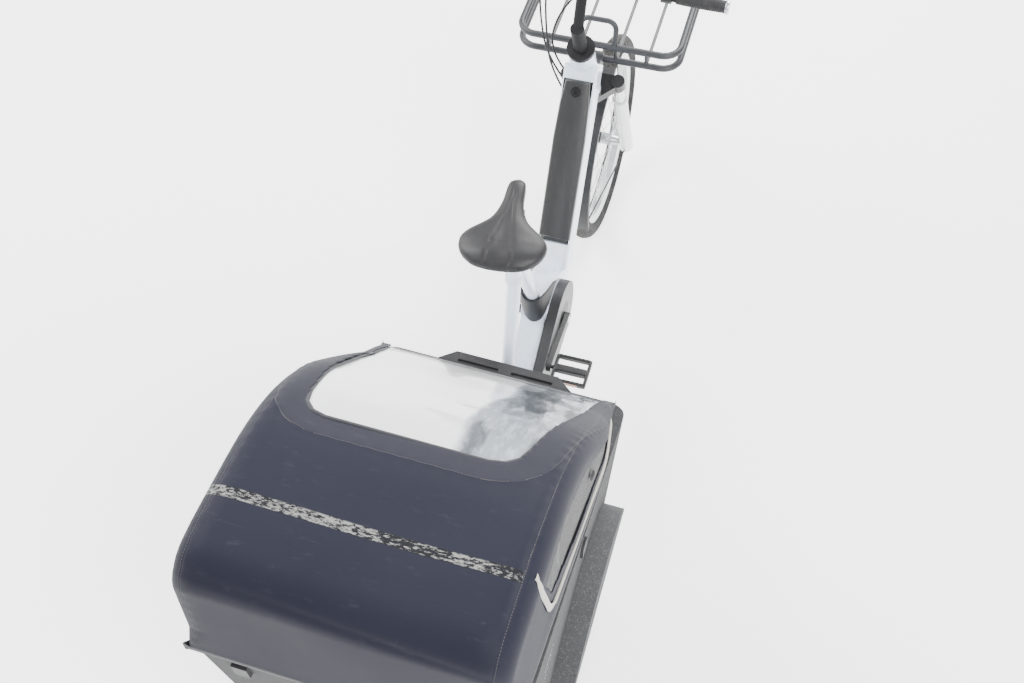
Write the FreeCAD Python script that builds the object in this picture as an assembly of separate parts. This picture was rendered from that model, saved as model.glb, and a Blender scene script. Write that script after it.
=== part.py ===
"""Tilting cargo tricycle with a foam tub and a fabric hood behind the rider.

Millimetres. +Y is the direction of travel, +X the rider's right, +Z up, ground at Z = 0.
The front frame is built upright about the plane X = 0, then leaned by PARKED_LEAN about the
level tilt axis behind the pedals.
"""
import FreeCAD
import Part
import math
import os

V = FreeCAD.Vector
X_AXIS = V(1, 0, 0)

# Clearances
RUN_GAP = 0.05          # radial gap of a shaft in its hole
SOFT_GAP = 0.3          # gap beside soft or curved pieces
SIDE_GAP = 1.0          # gap beside a turning piece

# Whole vehicle
CENTRE_X = 17.77        # the lean carries the handlebar left, so the box stands this far right
FRONT_AXLE_Y = 808.0
REAR_AXLE_Y = -610.0
PARKED_LEAN = 2.7       # degrees to the left
TILT_Y = -330.0         # middle of the tilt bearing
TILT_Z = 240.0

# Front wheel and fork
FRONT_TYRE_R = 304.0
FRONT_TYRE_W = 58.0
FRONT_BEAD_R = 254.0
HEAD_ANGLE = 70.0       # degrees from the ground
FORK_RAKE = 40.0
LEG_X = 68.0
LEG_R = 20.0
STANCHION_R = 15.0
LEG_TOP = 300.0         # distances along the steering axis, from the axle's height
LEG_FOOT = -28.0
STANCHION_FOOT = 190.0
CROWN_BOTTOM = 378.0
CROWN_TOP = 408.0
CROWN_HALF = 26.0       # radius of the crown's middle
CROWN_BACK = 16.0       # half depth of the crown's arms
CAP_R = 19.0
CAP_H = 3.0
FORK_TRAVEL = 40.0
FRONT_AXLE_R = 6.0
FRONT_HUB_R = 17.0
FRONT_HUB_END_R = 13.0
FRONT_FLANGE_R = 30.0
FRONT_FLANGE_X = 24.0
FLANGE_T = 4.0
RIM_DEPTH = 20.0
SPOKE_R = 1.1
SPOKE_LEAD = 0.62       # radians from a spoke's hub end to its rim end
SPOKE_STEP = 2.4        # spokes of one side start this far in or out of their flange
FRONT_SPOKES = 28
DISC_R = 80.0
DISC_T = 2.0
DISC_X = -40.0
DISC_HOLES = 10
DISC_HOLE_R = 9.0
DISC_HOLE_RING = 56.0
CALIPER_LOW = 40.0      # along the leg, above the axle
CALIPER_HIGH = 84.0
CALIPER_BACK = 52.0
CALIPER_HALF = 9.0
ARCH_R = 8.0
ARCH_BEND = 40.0
ARCH_FOOT_DROP = 30.0
FENDER_GAP = 7.0
FENDER_T = 2.5
FENDER_W = 66.0
FENDER_SKIRT = 12.0
FENDER_START = 4.0      # degrees back from the wheel's top
FENDER_END = 100.0
STAY_LUG_BACK = 8.0     # degrees from the fender's end to its stays
STAY_R = 2.0

# Head, stem and handlebar
STEERER_R = 14.3
HEAD_R = 33.0
HEAD_BORE_R = 22.0
HEAD_BOTTOM = 425.0
HEAD_TOP = 640.0
CUP_LIP = 16.0
CUP_DEPTH = 15.0
RING_R = 35.0
RING_H = 12.0
STEERER_TOP = 700.0
STEM_R = 17.0
STEM_RISER = 735.0
STEM_TOP = 800.0
STEM_REACH = 75.0
STEM_CLAMP_R = 18.0
STEM_CLAMP_HALF = 24.0
QUILL_R = 13.0
BAR_R = 11.1
BAR_HALF = 340.0
BAR_RISE = 22.0
BAR_SWEEP = 6.0
BAR_FLAT_X = 62.0
BAR_BEND_X = 135.0
BAR_BEND_R = 60.0
GRIP_R = 16.0
GRIP_TAPER = 1.5
GRIP_LENGTH = 118.0
GRIP_CAP = 5.0
LEVER_CLAMP_X = 200.0
LEVER_BAND = 12.0       # half length of the band round the bar
LEVER_BAND_T = 5.0
LEVER_FORWARD = 46.0
LEVER_EYE_R = 8.0
LEVER_PIN_R = 3.0
LEVER_H = 10.0
LEVER_EAR_T = 3.0
LEVER_MOUTH = 2.0
LEVER_LENGTH = 112.0
LEVER_R = 4.5
LEVER_BULB_R = 6.5
DISPLAY_HALF = 30.0
DISPLAY_T = 13.0
DISPLAY_SINK = 2.0
CABLE_R = 2.6
# Cable points: x, then forward and up from the middle of the handlebar
CABLE_ROUTES = (
    ((-192, 22, 22), (-152, 75, 5), (-135, 92, -80), (-126, 60, -172), (-95, 10, -244), (-42, -24, -279)),
    ((192, 22, 22), (120, 80, 10), (0, 120, -70), (-85, 95, -160), (-98, 26, -232), (-42, -10, -262)),
    ((-29, 10, 24), (-90, 45, 0), (-112, 62, -90), (-104, 35, -185), (-84, -8, -256), (-42, -38, -297)),
)

# Down tube and battery
BATTERY_TOP_Y = 525.0
BATTERY_TOP_Z = 814.0
DOWN_ANGLE = 54.5       # degrees from the ground
BATTERY_LENGTH = 429.0
BATTERY_HALF = 37.0
BATTERY_DEPTH = 62.0
BATTERY_GAP = 1.0
DOWN_HALF = 43.0
DOWN_DEPTH = 88.0
DOWN_LENGTH = 500.0
DOWN_HEAD_REACH = 34.0
DOWN_ROUND = 14.0
BATTERY_ROUND = 12.0
BATTERY_NECK = 26.0     # the inner top corner is cut off this far, behind the head tube
LID_HALF = 42.0         # the battery's lid lies over the tube's edges
LID_TOP_HALF = 31.0
LID_SHOULDER_HALF = 38.0
LID_SHOULDER = 60.0     # along the tube, where the lid's top widens
LID_FULL = 150.0
LID_SHORT = 14.0        # the lid stops this far above the battery's foot
LID_T = 9.0
LID_ROUND = 5.0
HINGE_UP = 9.0          # hinge pins above the battery's foot
HINGE_IN = 16.0
HINGE_R = 4.0
HINGE_DEPTH = 8.0
HEEL_CUT = 8.0          # the foot's corners are cut so that it can turn
HEEL_DEPTH = 13.5
TOE_CUT = 6.0
LOCK_R = 13.0
LOCK_AT = 28.0
LOCK_PROUD = 3.0

# Bottom bracket, seat tube and saddle
BB_Y = 140.0
BB_Z = 326.0
MOTOR_HALF = 36.0
MOTOR_BACK = 62.0
MOTOR_RISE = 70.0
MOTOR_DROP = 50.0
MOTOR_CHAMFER = 20.0
GUSSET_RISE = 129.0     # frame casting between the seat tube and the down tube
GUSSET_FRONT = 30.0
GUSSET_BACK = 35.0
BOOT_T = 6.0            # cover behind the seat tube's foot
BOOT_DROP = 24.0
BOOT_RISE = 42.0
BOOT_TOP_BACK = 24.0
BOOT_LOW_HALF = 38.0
BOOT_TOP_HALF = 22.0
FIN_T = 3.5
FIN_RISE = 16.0
FIN_FRONT = 52.0
FIN_LOW = 30.0
SEAT_FOOT_Y = 115.0     # the seat tube's axis on top of the motor
SEAT_TOP_Y = -55.0      # middle of the saddle clamp
SEAT_TOP_Z = 905.0
SEAT_TUBE_R = 18.0
SEAT_TUBE_TOP_Z = 830.0
SEAT_DROP = 30.0        # the seatpost can sink this far
CLAMP_T = 5.0
CLAMP_H = 24.0
CLAMP_EAR = 8.0
POST_R = 15.0
POST_INSERT = 190.0
YOKE_HALF = 18.0
YOKE_LOW = 14.0
YOKE_HIGH = 5.0
SADDLE_NOSE_Y = 74.0
SADDLE_LENGTH = 246.0
SADDLE_HALF = 98.0
SADDLE_TWIST = 5.0      # degrees, nose to the left
SADDLE_TOP_Z = 960.0
SADDLE_T = 48.0
# Saddle sections: part of its length, part of its half width, crown, depth below the top
SADDLE_SECTIONS = (
    (0.0, 0.145, -10.0, 26.0), (0.1, 0.215, 0.0, 38.0), (0.3, 0.27, -3.0, 44.0), (0.46, 0.46, -4.0, 48.0),
    (0.62, 0.9, -3.0, 48.0), (0.74, 1.0, -1.0, 48.0), (0.88, 0.86, -2.0, 45.0), (1.0, 0.46, -14.0, 34.0),
)
SADDLE_BROW = 0.6       # side edge below the crown, as part of the half width
SADDLE_BROW_MOST = 0.55
SADDLE_FOOT = 0.86      # width of the underside
GROOVE_SPAN = (0.42, 1.02)
RAIL_SPAN = (0.26, 0.84)
GROOVE_R = 22.0
GROOVE_DEPTH = 5.0
RAIL_X = 22.0
RAIL_R = 3.5
RAIL_SINK = 6.0
RAIL_RAMP = 34.0
RAIL_BEND = 14.0

# Strut and beam to the tilt bearing
STRUT_R = 17.0
STRUT_TOP_Z = 807.0
STRUT_BAND_Z = 720.0
STRUT_BAND_H = 16.0
BEAM_HALF = 32.0
BEAM_END_Y = -236.0
BEAM_DEPTH = 62.0
SHAFT_R = 15.0
HOUSING_R = 32.0
HOUSING_LENGTH = 132.0
COLLAR_R = 22.0
SHAFT_NUT_H = 10.0

# Crank, chain and pedals
CRANK_LENGTH = 170.0
CRANK_ANGLE = 172.0     # degrees from forward, the right arm points back and up
SPINDLE_R = 12.0
CRANK_X = 66.0
CRANK_T = 13.0
CRANK_BOSS_R = 18.0
CRANK_EYE_R = 14.0
RING_T = 5.0
RING_ARMS = 5
PEDAL_IN_X = 84.0
PEDAL_W = 94.0
PEDAL_LENGTH = 82.0
PEDAL_T = 26.0
PEDAL_AXLE_R = 5.0
PEDAL_BAR = 7.0
PEDAL_ROUND = 8.0
LENS_T = 3.0
SPROCKET_Y = -168.0
SPROCKET_Z = 246.0
RING_CHAIN_R = 89.0     # chain's middle line on the chainring and on the sprocket
SPROCKET_CHAIN_R = 44.6
CHAIN_HALF_T = 4.5
CHAIN_W = 8.0
CHAIN_X = 49.5
CASE_WALL = 3.0
CASE_GAP = 5.5
CASE_W = 27.0
HUB_SHAFT_R = 10.0

# Front rack
RACK_HALF = 215.0
RACK_REAR_Y = 706.0
RACK_LENGTH = 312.0
RACK_Z = 724.0
RACK_RISE = 44.0
RACK_R = 9.0
RACK_CORNER = 46.0
SLAT_R = 4.5
SLAT_SPACING = (-0.62, -0.24, 0.24, 0.62)   # parts of the half width
HOOP_HALF = 48.0
HOOP_LEAN = 18.0
HOOP_RISE = 70.0
HOOP_BEND = 24.0
HOOP_R = 7.0
BRACKET_HALF = 20.0
BRACKET_RISE = 24.0
LAMP_R = 24.0
LAMP_LENGTH = 34.0

# Rear wheels
REAR_TYRE_R = 253.0
REAR_TYRE_W = 50.0
REAR_BEAD_R = 207.0
WHEEL_OUT = 9.0         # middle of a rear wheel outside the tub's side
REAR_SPOKES = 20
REAR_HUB_HALF = 24.0
REAR_HUB_R = 16.0
REAR_FLANGE_R = 27.0
STUB_R = 7.5
AXLE_BEAM_R = 25.0
COVER_GAP = 9.0
COVER_T = 8.0
COVER_OUT = 50.0        # outer face of the wheel covers outside the tub's side
COVER_SKIRT_Z = 345.0

# Tub
TUB_HALF = 300.0
TUB_WALL = 25.0
WALL_SLANT = 1.12       # level thickness of the leaning walls, in wall thicknesses
TUB_ROUND = 40.0
TUB_BASE_Z = 300.0
TUB_BASE_FRONT_Y = -330.0
TUB_BASE_REAR_Y = -1060.0
RIM_FRONT_Y = -202.0
RIM_FRONT_Z = 560.0
RIM_REAR_Y = -1106.0
RIM_REAR_Z = 945.0
WELL_DEPTH = 68.0       # the tub is narrower by this between the wheel wells
BENCH_FRONT_Y = -700.0
BENCH_Z = 470.0
PLATE_REAR_HALF = 166.0
PLATE_FRONT_HALF = 126.0
PLATE_DEPTH = 31.0
PLATE_T = 9.0
PLATE_SLOT_IN = 16.0
PLATE_SLOT_OUT = 116.0
PLATE_SLOT_W = 7.0
PLATE_SLOT_DEPTH = 6.0
RAIL_SPACING = 140.0    # middle of each rear frame rail from the centre plane
RAIL_W = 30.0
RAIL_H = 40.0
TAIL_LAMP_X = 205.0
TAIL_LAMP_Z = 500.0
TAIL_LAMP_W = 60.0
TAIL_LAMP_H = 40.0
TAIL_LAMP_T = 10.0
REFLECTOR_Y = -905.0
REFLECTOR_Z = 690.0
REFLECTOR_L = 60.0
REFLECTOR_H = 40.0
REFLECTOR_T = 1.5
CLIP_X = 185.0
CLIP_SIDE_Y = -640.0
CLIP_W = 30.0
CLIP_H = 46.0
CLIP_T = 6.0
BOLT_HEAD_R = 9.0
BOLT_HEAD_H = 6.0

# Hood
ROOF_Z = 1256.0
SCREEN_ANGLE = 54.0     # degrees from the ground
ROOF_ARC_R = 600.0
BACK_ARC_R = 70.0
HOOD_NARROW = 16.0      # the roof's edges stand in from the tub's sides
HOOD_ROUND = 60.0
HOOD_T = 5.0
WINDOW_TOP_Y = -706.0
WINDOW_TOP_PART = 0.4833    # half widths as parts of the tub's
WINDOW_MID_Y = -455.0
WINDOW_MID_PART = 0.76
WINDOW_LOW_PART = 0.88
WINDOW_CORNER = 55.0
# Side window outline: y, z
SIDE_WINDOW = ((-345, 690), (-840, 985), (-885, 1130), (-760, 1125), (-600, 1010), (-440, 830))
BOW_R = 6.0
BOW_DROP = 9.0          # bow's middle line below the hood's inner face
BOWS_AHEAD = (238.0, 28.0)   # ahead of the roof's crest
CUSHION_H = 62.0
CUSHION_DRAW = 10.0
BACK_CUSHION_T = 42.0
BACK_CUSHION_TOP_Z = 900.0

# Axes worked out from the sizes above
HEAD = math.radians(HEAD_ANGLE)
STEER_UP = V(0, -math.cos(HEAD), math.sin(HEAD))
STEER_FRONT = V(0, math.sin(HEAD), math.cos(HEAD))
FRONT_AXLE = V(0, FRONT_AXLE_Y, FRONT_TYRE_R)
STEER_FOOT = FRONT_AXLE - STEER_FRONT * FORK_RAKE
TILT_POINT = V(0, TILT_Y, TILT_Z)
TILT_AXIS = V(0, 1, 0)
BB = V(0, BB_Y, BB_Z)
SPROCKET = V(0, SPROCKET_Y, SPROCKET_Z)
DOWN = math.radians(DOWN_ANGLE)
DOWN_ALONG = V(0, -math.cos(DOWN), -math.sin(DOWN))
DOWN_OUT = V(0, -math.sin(DOWN), math.cos(DOWN))
BATTERY_TOP = V(0, BATTERY_TOP_Y, BATTERY_TOP_Z)
SEAT_TOP = V(0, SEAT_TOP_Y, SEAT_TOP_Z)
SEAT_FOOT = V(0, SEAT_FOOT_Y, BB_Z + MOTOR_RISE)
SEAT_UP = (SEAT_TOP - SEAT_FOOT).normalize()
REAR_AXLE = V(0, REAR_AXLE_Y, REAR_TYRE_R)
REAR_WHEEL_X = TUB_HALF + WHEEL_OUT
COVER_HALF = TUB_HALF + COVER_OUT
TUB_INNER_LOW = TUB_HALF - WELL_DEPTH
HOOD_TOP_HALF = TUB_HALF - HOOD_NARROW
WINDOW_TOP_HALF = TUB_HALF * WINDOW_TOP_PART
WINDOW_MID_HALF = TUB_HALF * WINDOW_MID_PART
WINDOW_LOW_HALF = TUB_HALF * WINDOW_LOW_PART


def on_steer(distance, forward=0.0, x=0.0):
    """Point on the steering axis, or beside it by forward and x."""
    return STEER_FOOT + STEER_UP * distance + STEER_FRONT * forward + V(x, 0, 0)


def on_leg(distance, x):
    """Point on a fork leg, whose line runs through the wheel's axle."""
    return FRONT_AXLE + STEER_UP * distance + V(x, 0, 0)


def on_down(along, out=0.0, x=0.0):
    """Point beside the down tube, along it from the battery's top and out of its face."""
    return BATTERY_TOP + DOWN_ALONG * along + DOWN_OUT * out + V(x, 0, 0)


def on_seat(z):
    """Point on the seat tube's axis at a height."""
    return SEAT_FOOT + SEAT_UP * ((z - SEAT_FOOT.z) / SEAT_UP.z)


def on_tilt(y):
    """Point on the tilt axis at a Y."""
    return V(0, y, TILT_Z)


def rod(a, b, radius):
    return Part.makeCylinder(radius, (b - a).Length, a, b - a)


def cross_rod(x0, x1, centre, radius):
    """Cylinder along X through a centre point."""
    return Part.makeCylinder(radius, x1 - x0, V(x0, centre.y, centre.z), X_AXIS)


def block(x, y, z):
    """Box between (low, high) pairs."""
    return Part.makeBox(x[1] - x[0], y[1] - y[0], z[1] - z[0], V(x[0], y[0], z[0]))


def face_of(points):
    return Part.Face(Part.makePolygon(points + [points[0]]))


def side_prism(outline, x0, x1):
    """Solid with a (y, z) outline, from x0 to x1."""
    return face_of([V(x0, y, z) for y, z in outline]).extrude(V(x1 - x0, 0, 0))


def plan_prism(outline, z0, z1):
    """Solid with an (x, y) outline, from z0 to z1."""
    return face_of([V(x, y, z0) for x, y in outline]).extrude(V(0, 0, z1 - z0))


def join(shapes):
    """One solid from shapes that touch or overlap."""
    whole = shapes[0].multiFuse(shapes[1:]) if len(shapes) > 1 else shapes[0]
    return whole.removeSplitter()


def group(shapes):
    """Separate solids that share a node."""
    return Part.makeCompound(shapes)


def both_sides(shape):
    """A shape and its mirror image in the centre plane."""
    return [shape, shape.mirror(V(0, 0, 0), X_AXIS)]


def bent_path(points, bend):
    """Wire of straight runs with a tangent arc of radius bend at each inner point."""
    edges = []
    start = points[0]
    for before, corner, after in zip(points, points[1:], points[2:]):
        back = (before - corner).normalize()
        ahead = (after - corner).normalize()
        half = back.getAngle(ahead) / 2
        reach = bend / math.tan(half)
        middle = corner + (back + ahead).normalize() * (bend / math.sin(half) - bend)
        arc_start = corner + back * reach
        arc_end = corner + ahead * reach
        if (arc_start - start).Length > 1e-6:
            edges.append(Part.LineSegment(start, arc_start).toShape())
        edges.append(Part.Arc(arc_start, middle, arc_end).toShape())
        start = arc_end
    edges.append(Part.LineSegment(start, points[-1]).toShape())
    return Part.Wire(edges)


def bent_tube(points, bend, radius):
    """Round tube along straight runs and arcs."""
    path = bent_path(points, bend)
    profile = Part.Wire(Part.makeCircle(radius, points[0], points[1] - points[0]))
    return path.makePipeShell([profile], True, False)


def turned(profile, centre):
    """Solid of revolution about the X line through centre, from (x, radius) points."""
    points = [V(x, centre.y, centre.z + radius) for x, radius in profile]
    return face_of(points).revolve(V(0, centre.y, centre.z), X_AXIS, 360)


def belt(first, radius1, second, radius2, x0, x1):
    """Solid whose outline is a belt round two circles, from x0 to x1."""
    line = second - first
    turn = math.acos((radius1 - radius2) / line.Length)
    heading = math.atan2(line.z, line.y)
    corners = []
    for sign in (1, -1):
        side = heading + sign * turn
        for centre, radius in ((first, radius1), (second, radius2))[::sign]:
            corners.append((centre.y + radius * math.cos(side), centre.z + radius * math.sin(side)))
    return join([cross_rod(x0, x1, first, radius1), cross_rod(x0, x1, second, radius2),
                 side_prism(corners, x0, x1)])


def drive_loop(grow, x0, x1):
    """Outline of the chain round both its wheels, grown outwards, from x0 to x1."""
    return belt(BB, RING_CHAIN_R + grow, SPROCKET, SPROCKET_CHAIN_R + grow, x0, x1)


def tyre(centre, outer, width, bead):
    """Tyre with a round crown, flat sidewalls and a flat seat on its rim."""
    half = width / 2
    shoulder = outer - half
    seat = half * 0.62
    crown = [V(centre.x + x, centre.y, centre.z + radius)
             for x, radius in ((-half, shoulder), (0, outer), (half, shoulder))]
    edges = [Part.Arc(*crown).toShape()]
    inner = [(half, shoulder), (seat, bead), (-seat, bead), (-half, shoulder)]
    corners = [V(centre.x + x, centre.y, centre.z + radius) for x, radius in inner]
    edges += [Part.LineSegment(a, b).toShape() for a, b in zip(corners, corners[1:])]
    return Part.Face(Part.Wire(edges)).revolve(V(0, centre.y, centre.z), X_AXIS, 360)


def rim(centre, bead, width):
    """Channel section rim inside a tyre's seat."""
    half = width * 0.31
    low = bead - RIM_DEPTH
    profile = [(-half, bead), (half, bead), (half * 0.7, low), (-half * 0.7, low)]
    return turned([(centre.x + x, radius) for x, radius in profile], centre)


def spokes(centre, flange_x, flange_r, rim_r, count):
    """Spokes from the two hub flanges to the rim, crossing as tangents."""
    rods = []
    for index in range(count):
        side = 1 if index % 2 else -1
        lead = 1 if (index // 2) % 2 else -1
        rim_turn = 2 * math.pi * index / count
        hub_turn = rim_turn - lead * SPOKE_LEAD
        hub_x = side * (flange_x + lead * SPOKE_STEP)
        hub_end = centre + V(hub_x, flange_r * math.cos(hub_turn), flange_r * math.sin(hub_turn))
        rim_end = centre + V(side * SPOKE_STEP, rim_r * math.cos(rim_turn), rim_r * math.sin(rim_turn))
        rods.append(rod(hub_end, rim_end, SPOKE_R))
    return rods


def edges_along(shape, direction):
    """Edges of a shape that run along a direction."""
    return [edge for edge in shape.Edges if abs(edge.tangentAt(edge.FirstParameter).dot(direction)) > 0.99]


def skew_prism(place, outline, x0, x1):
    """Solid from x0 to x1 whose outline is a list of values for the point function place."""
    return face_of([place(a, b) + V(x0, 0, 0) for a, b in outline]).extrude(V(x1 - x0, 0, 0))


def front_wheel():
    """Tyre, rim, hub with its brake disc, and spokes."""
    flange = FRONT_FLANGE_X
    lip = FLANGE_T / 2
    laces = spokes(FRONT_AXLE, flange, FRONT_FLANGE_R - FLANGE_T, FRONT_BEAD_R - RIM_DEPTH / 2, FRONT_SPOKES)
    end = LEG_X - LEG_R - SIDE_GAP
    bore = FRONT_AXLE_R + RUN_GAP
    profile = [(-end, bore), (end, bore), (end, FRONT_HUB_END_R), (flange + lip, FRONT_HUB_R)]
    profile += [(flange + lip, FRONT_FLANGE_R), (flange - lip, FRONT_FLANGE_R), (flange - lip, FRONT_HUB_R)]
    profile += [(lip - flange, FRONT_HUB_R), (lip - flange, FRONT_FLANGE_R), (-flange - lip, FRONT_FLANGE_R)]
    profile += [(-flange - lip, FRONT_HUB_R), (-end, FRONT_HUB_END_R)]
    hub = turned(profile, FRONT_AXLE)
    disc = cross_rod(DISC_X - DISC_T / 2, DISC_X + DISC_T / 2, FRONT_AXLE, DISC_R)
    holes = [cross_rod(-LEG_X, LEG_X, FRONT_AXLE, FRONT_HUB_END_R)]
    for index in range(DISC_HOLES):
        turn = 2 * math.pi * index / DISC_HOLES
        middle = FRONT_AXLE + V(0, math.cos(turn), math.sin(turn)) * DISC_HOLE_RING
        holes.append(cross_rod(DISC_X - DISC_T, DISC_X + DISC_T, middle, DISC_HOLE_R))
    disc = disc.cut(holes)
    return {
        "front_tyre": tyre(FRONT_AXLE, FRONT_TYRE_R, FRONT_TYRE_W, FRONT_BEAD_R),
        "front_rim": rim(FRONT_AXLE, FRONT_BEAD_R, FRONT_TYRE_W).cut(laces),
        "front_hub": join([hub, disc]).cut(laces),
        "front_spokes": group(laces),
    }


def leg_place(along, forward):
    return FRONT_AXLE + STEER_UP * along + STEER_FRONT * forward


def fork_lowers():
    """Lower legs with their arch and wheel axle, fender with stays, and brake caliper."""
    bore_foot = STANCHION_FOOT - FORK_TRAVEL - SIDE_GAP
    sides = (-LEG_X, LEG_X)
    legs = [rod(on_leg(LEG_FOOT, x), on_leg(LEG_TOP, x), LEG_R) for x in sides]
    bores = [rod(on_leg(bore_foot, x), on_leg(CROWN_TOP, x), STANCHION_R + RUN_GAP) for x in sides]
    fender_in = FRONT_TYRE_R + FENDER_GAP
    arch_rise = fender_in + FENDER_T + ARCH_R + SOFT_GAP
    arch_foot = LEG_TOP - ARCH_FOOT_DROP
    arch_points = [leg_place(along, LEG_R) + V(x, 0, 0) for along, x in
                   ((arch_foot, -LEG_X), (arch_rise, -LEG_X), (arch_rise, LEG_X), (arch_foot, LEG_X))]
    arch = bent_tube(arch_points, ARCH_BEND, ARCH_R)
    axle = cross_rod(-LEG_X, LEG_X, FRONT_AXLE, FRONT_AXLE_R)
    lowers = join(legs + [arch, axle]).cut(bores)

    half = FENDER_W / 2
    skirt = fender_in - FENDER_SKIRT
    wide = half + FENDER_T
    fender_out = fender_in + FENDER_T
    profile = [(-half, skirt), (-half, fender_in), (half, fender_in), (half, skirt),
               (wide, skirt), (wide, fender_out), (-wide, fender_out), (-wide, skirt)]
    points = [V(x, FRONT_AXLE.y, FRONT_AXLE.z + radius) for x, radius in profile]
    fender = face_of(points).revolve(FRONT_AXLE, X_AXIS, FENDER_END - FENDER_START)
    fender.rotate(FRONT_AXLE, X_AXIS, FENDER_START)
    lug_turn = math.radians(FENDER_END - STAY_LUG_BACK)
    lug = FRONT_AXLE + V(0, -math.sin(lug_turn), math.cos(lug_turn)) * (skirt + FENDER_SKIRT / 2)
    stays = []
    for side in (-1, 1):
        lug_side = lug + V(side * (half + FENDER_T / 2), 0, 0)
        foot = leg_place(LEG_FOOT / 2, -LEG_R) + V(side * LEG_X, 0, 0)
        stays.append(rod(lug_side, foot, STAY_R).cut(legs))
    fender_node = join([fender] + stays)

    slot = DISC_T / 2 + SIDE_GAP
    body = [(CALIPER_LOW, -CALIPER_BACK), (CALIPER_HIGH, -CALIPER_BACK), (CALIPER_HIGH, 0), (CALIPER_LOW, 0)]
    caliper = skew_prism(leg_place, body, -LEG_X, DISC_X + CALIPER_HALF)
    disc_room = cross_rod(DISC_X - slot, DISC_X + slot, FRONT_AXLE, DISC_R + 2 * SIDE_GAP)
    caliper = caliper.cut([legs[0], disc_room])
    caliper = max(caliper.Solids, key=lambda solid: solid.Volume)
    return {"fork_lowers": lowers, "front_fender": fender_node, "brake_caliper": caliper}


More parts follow.
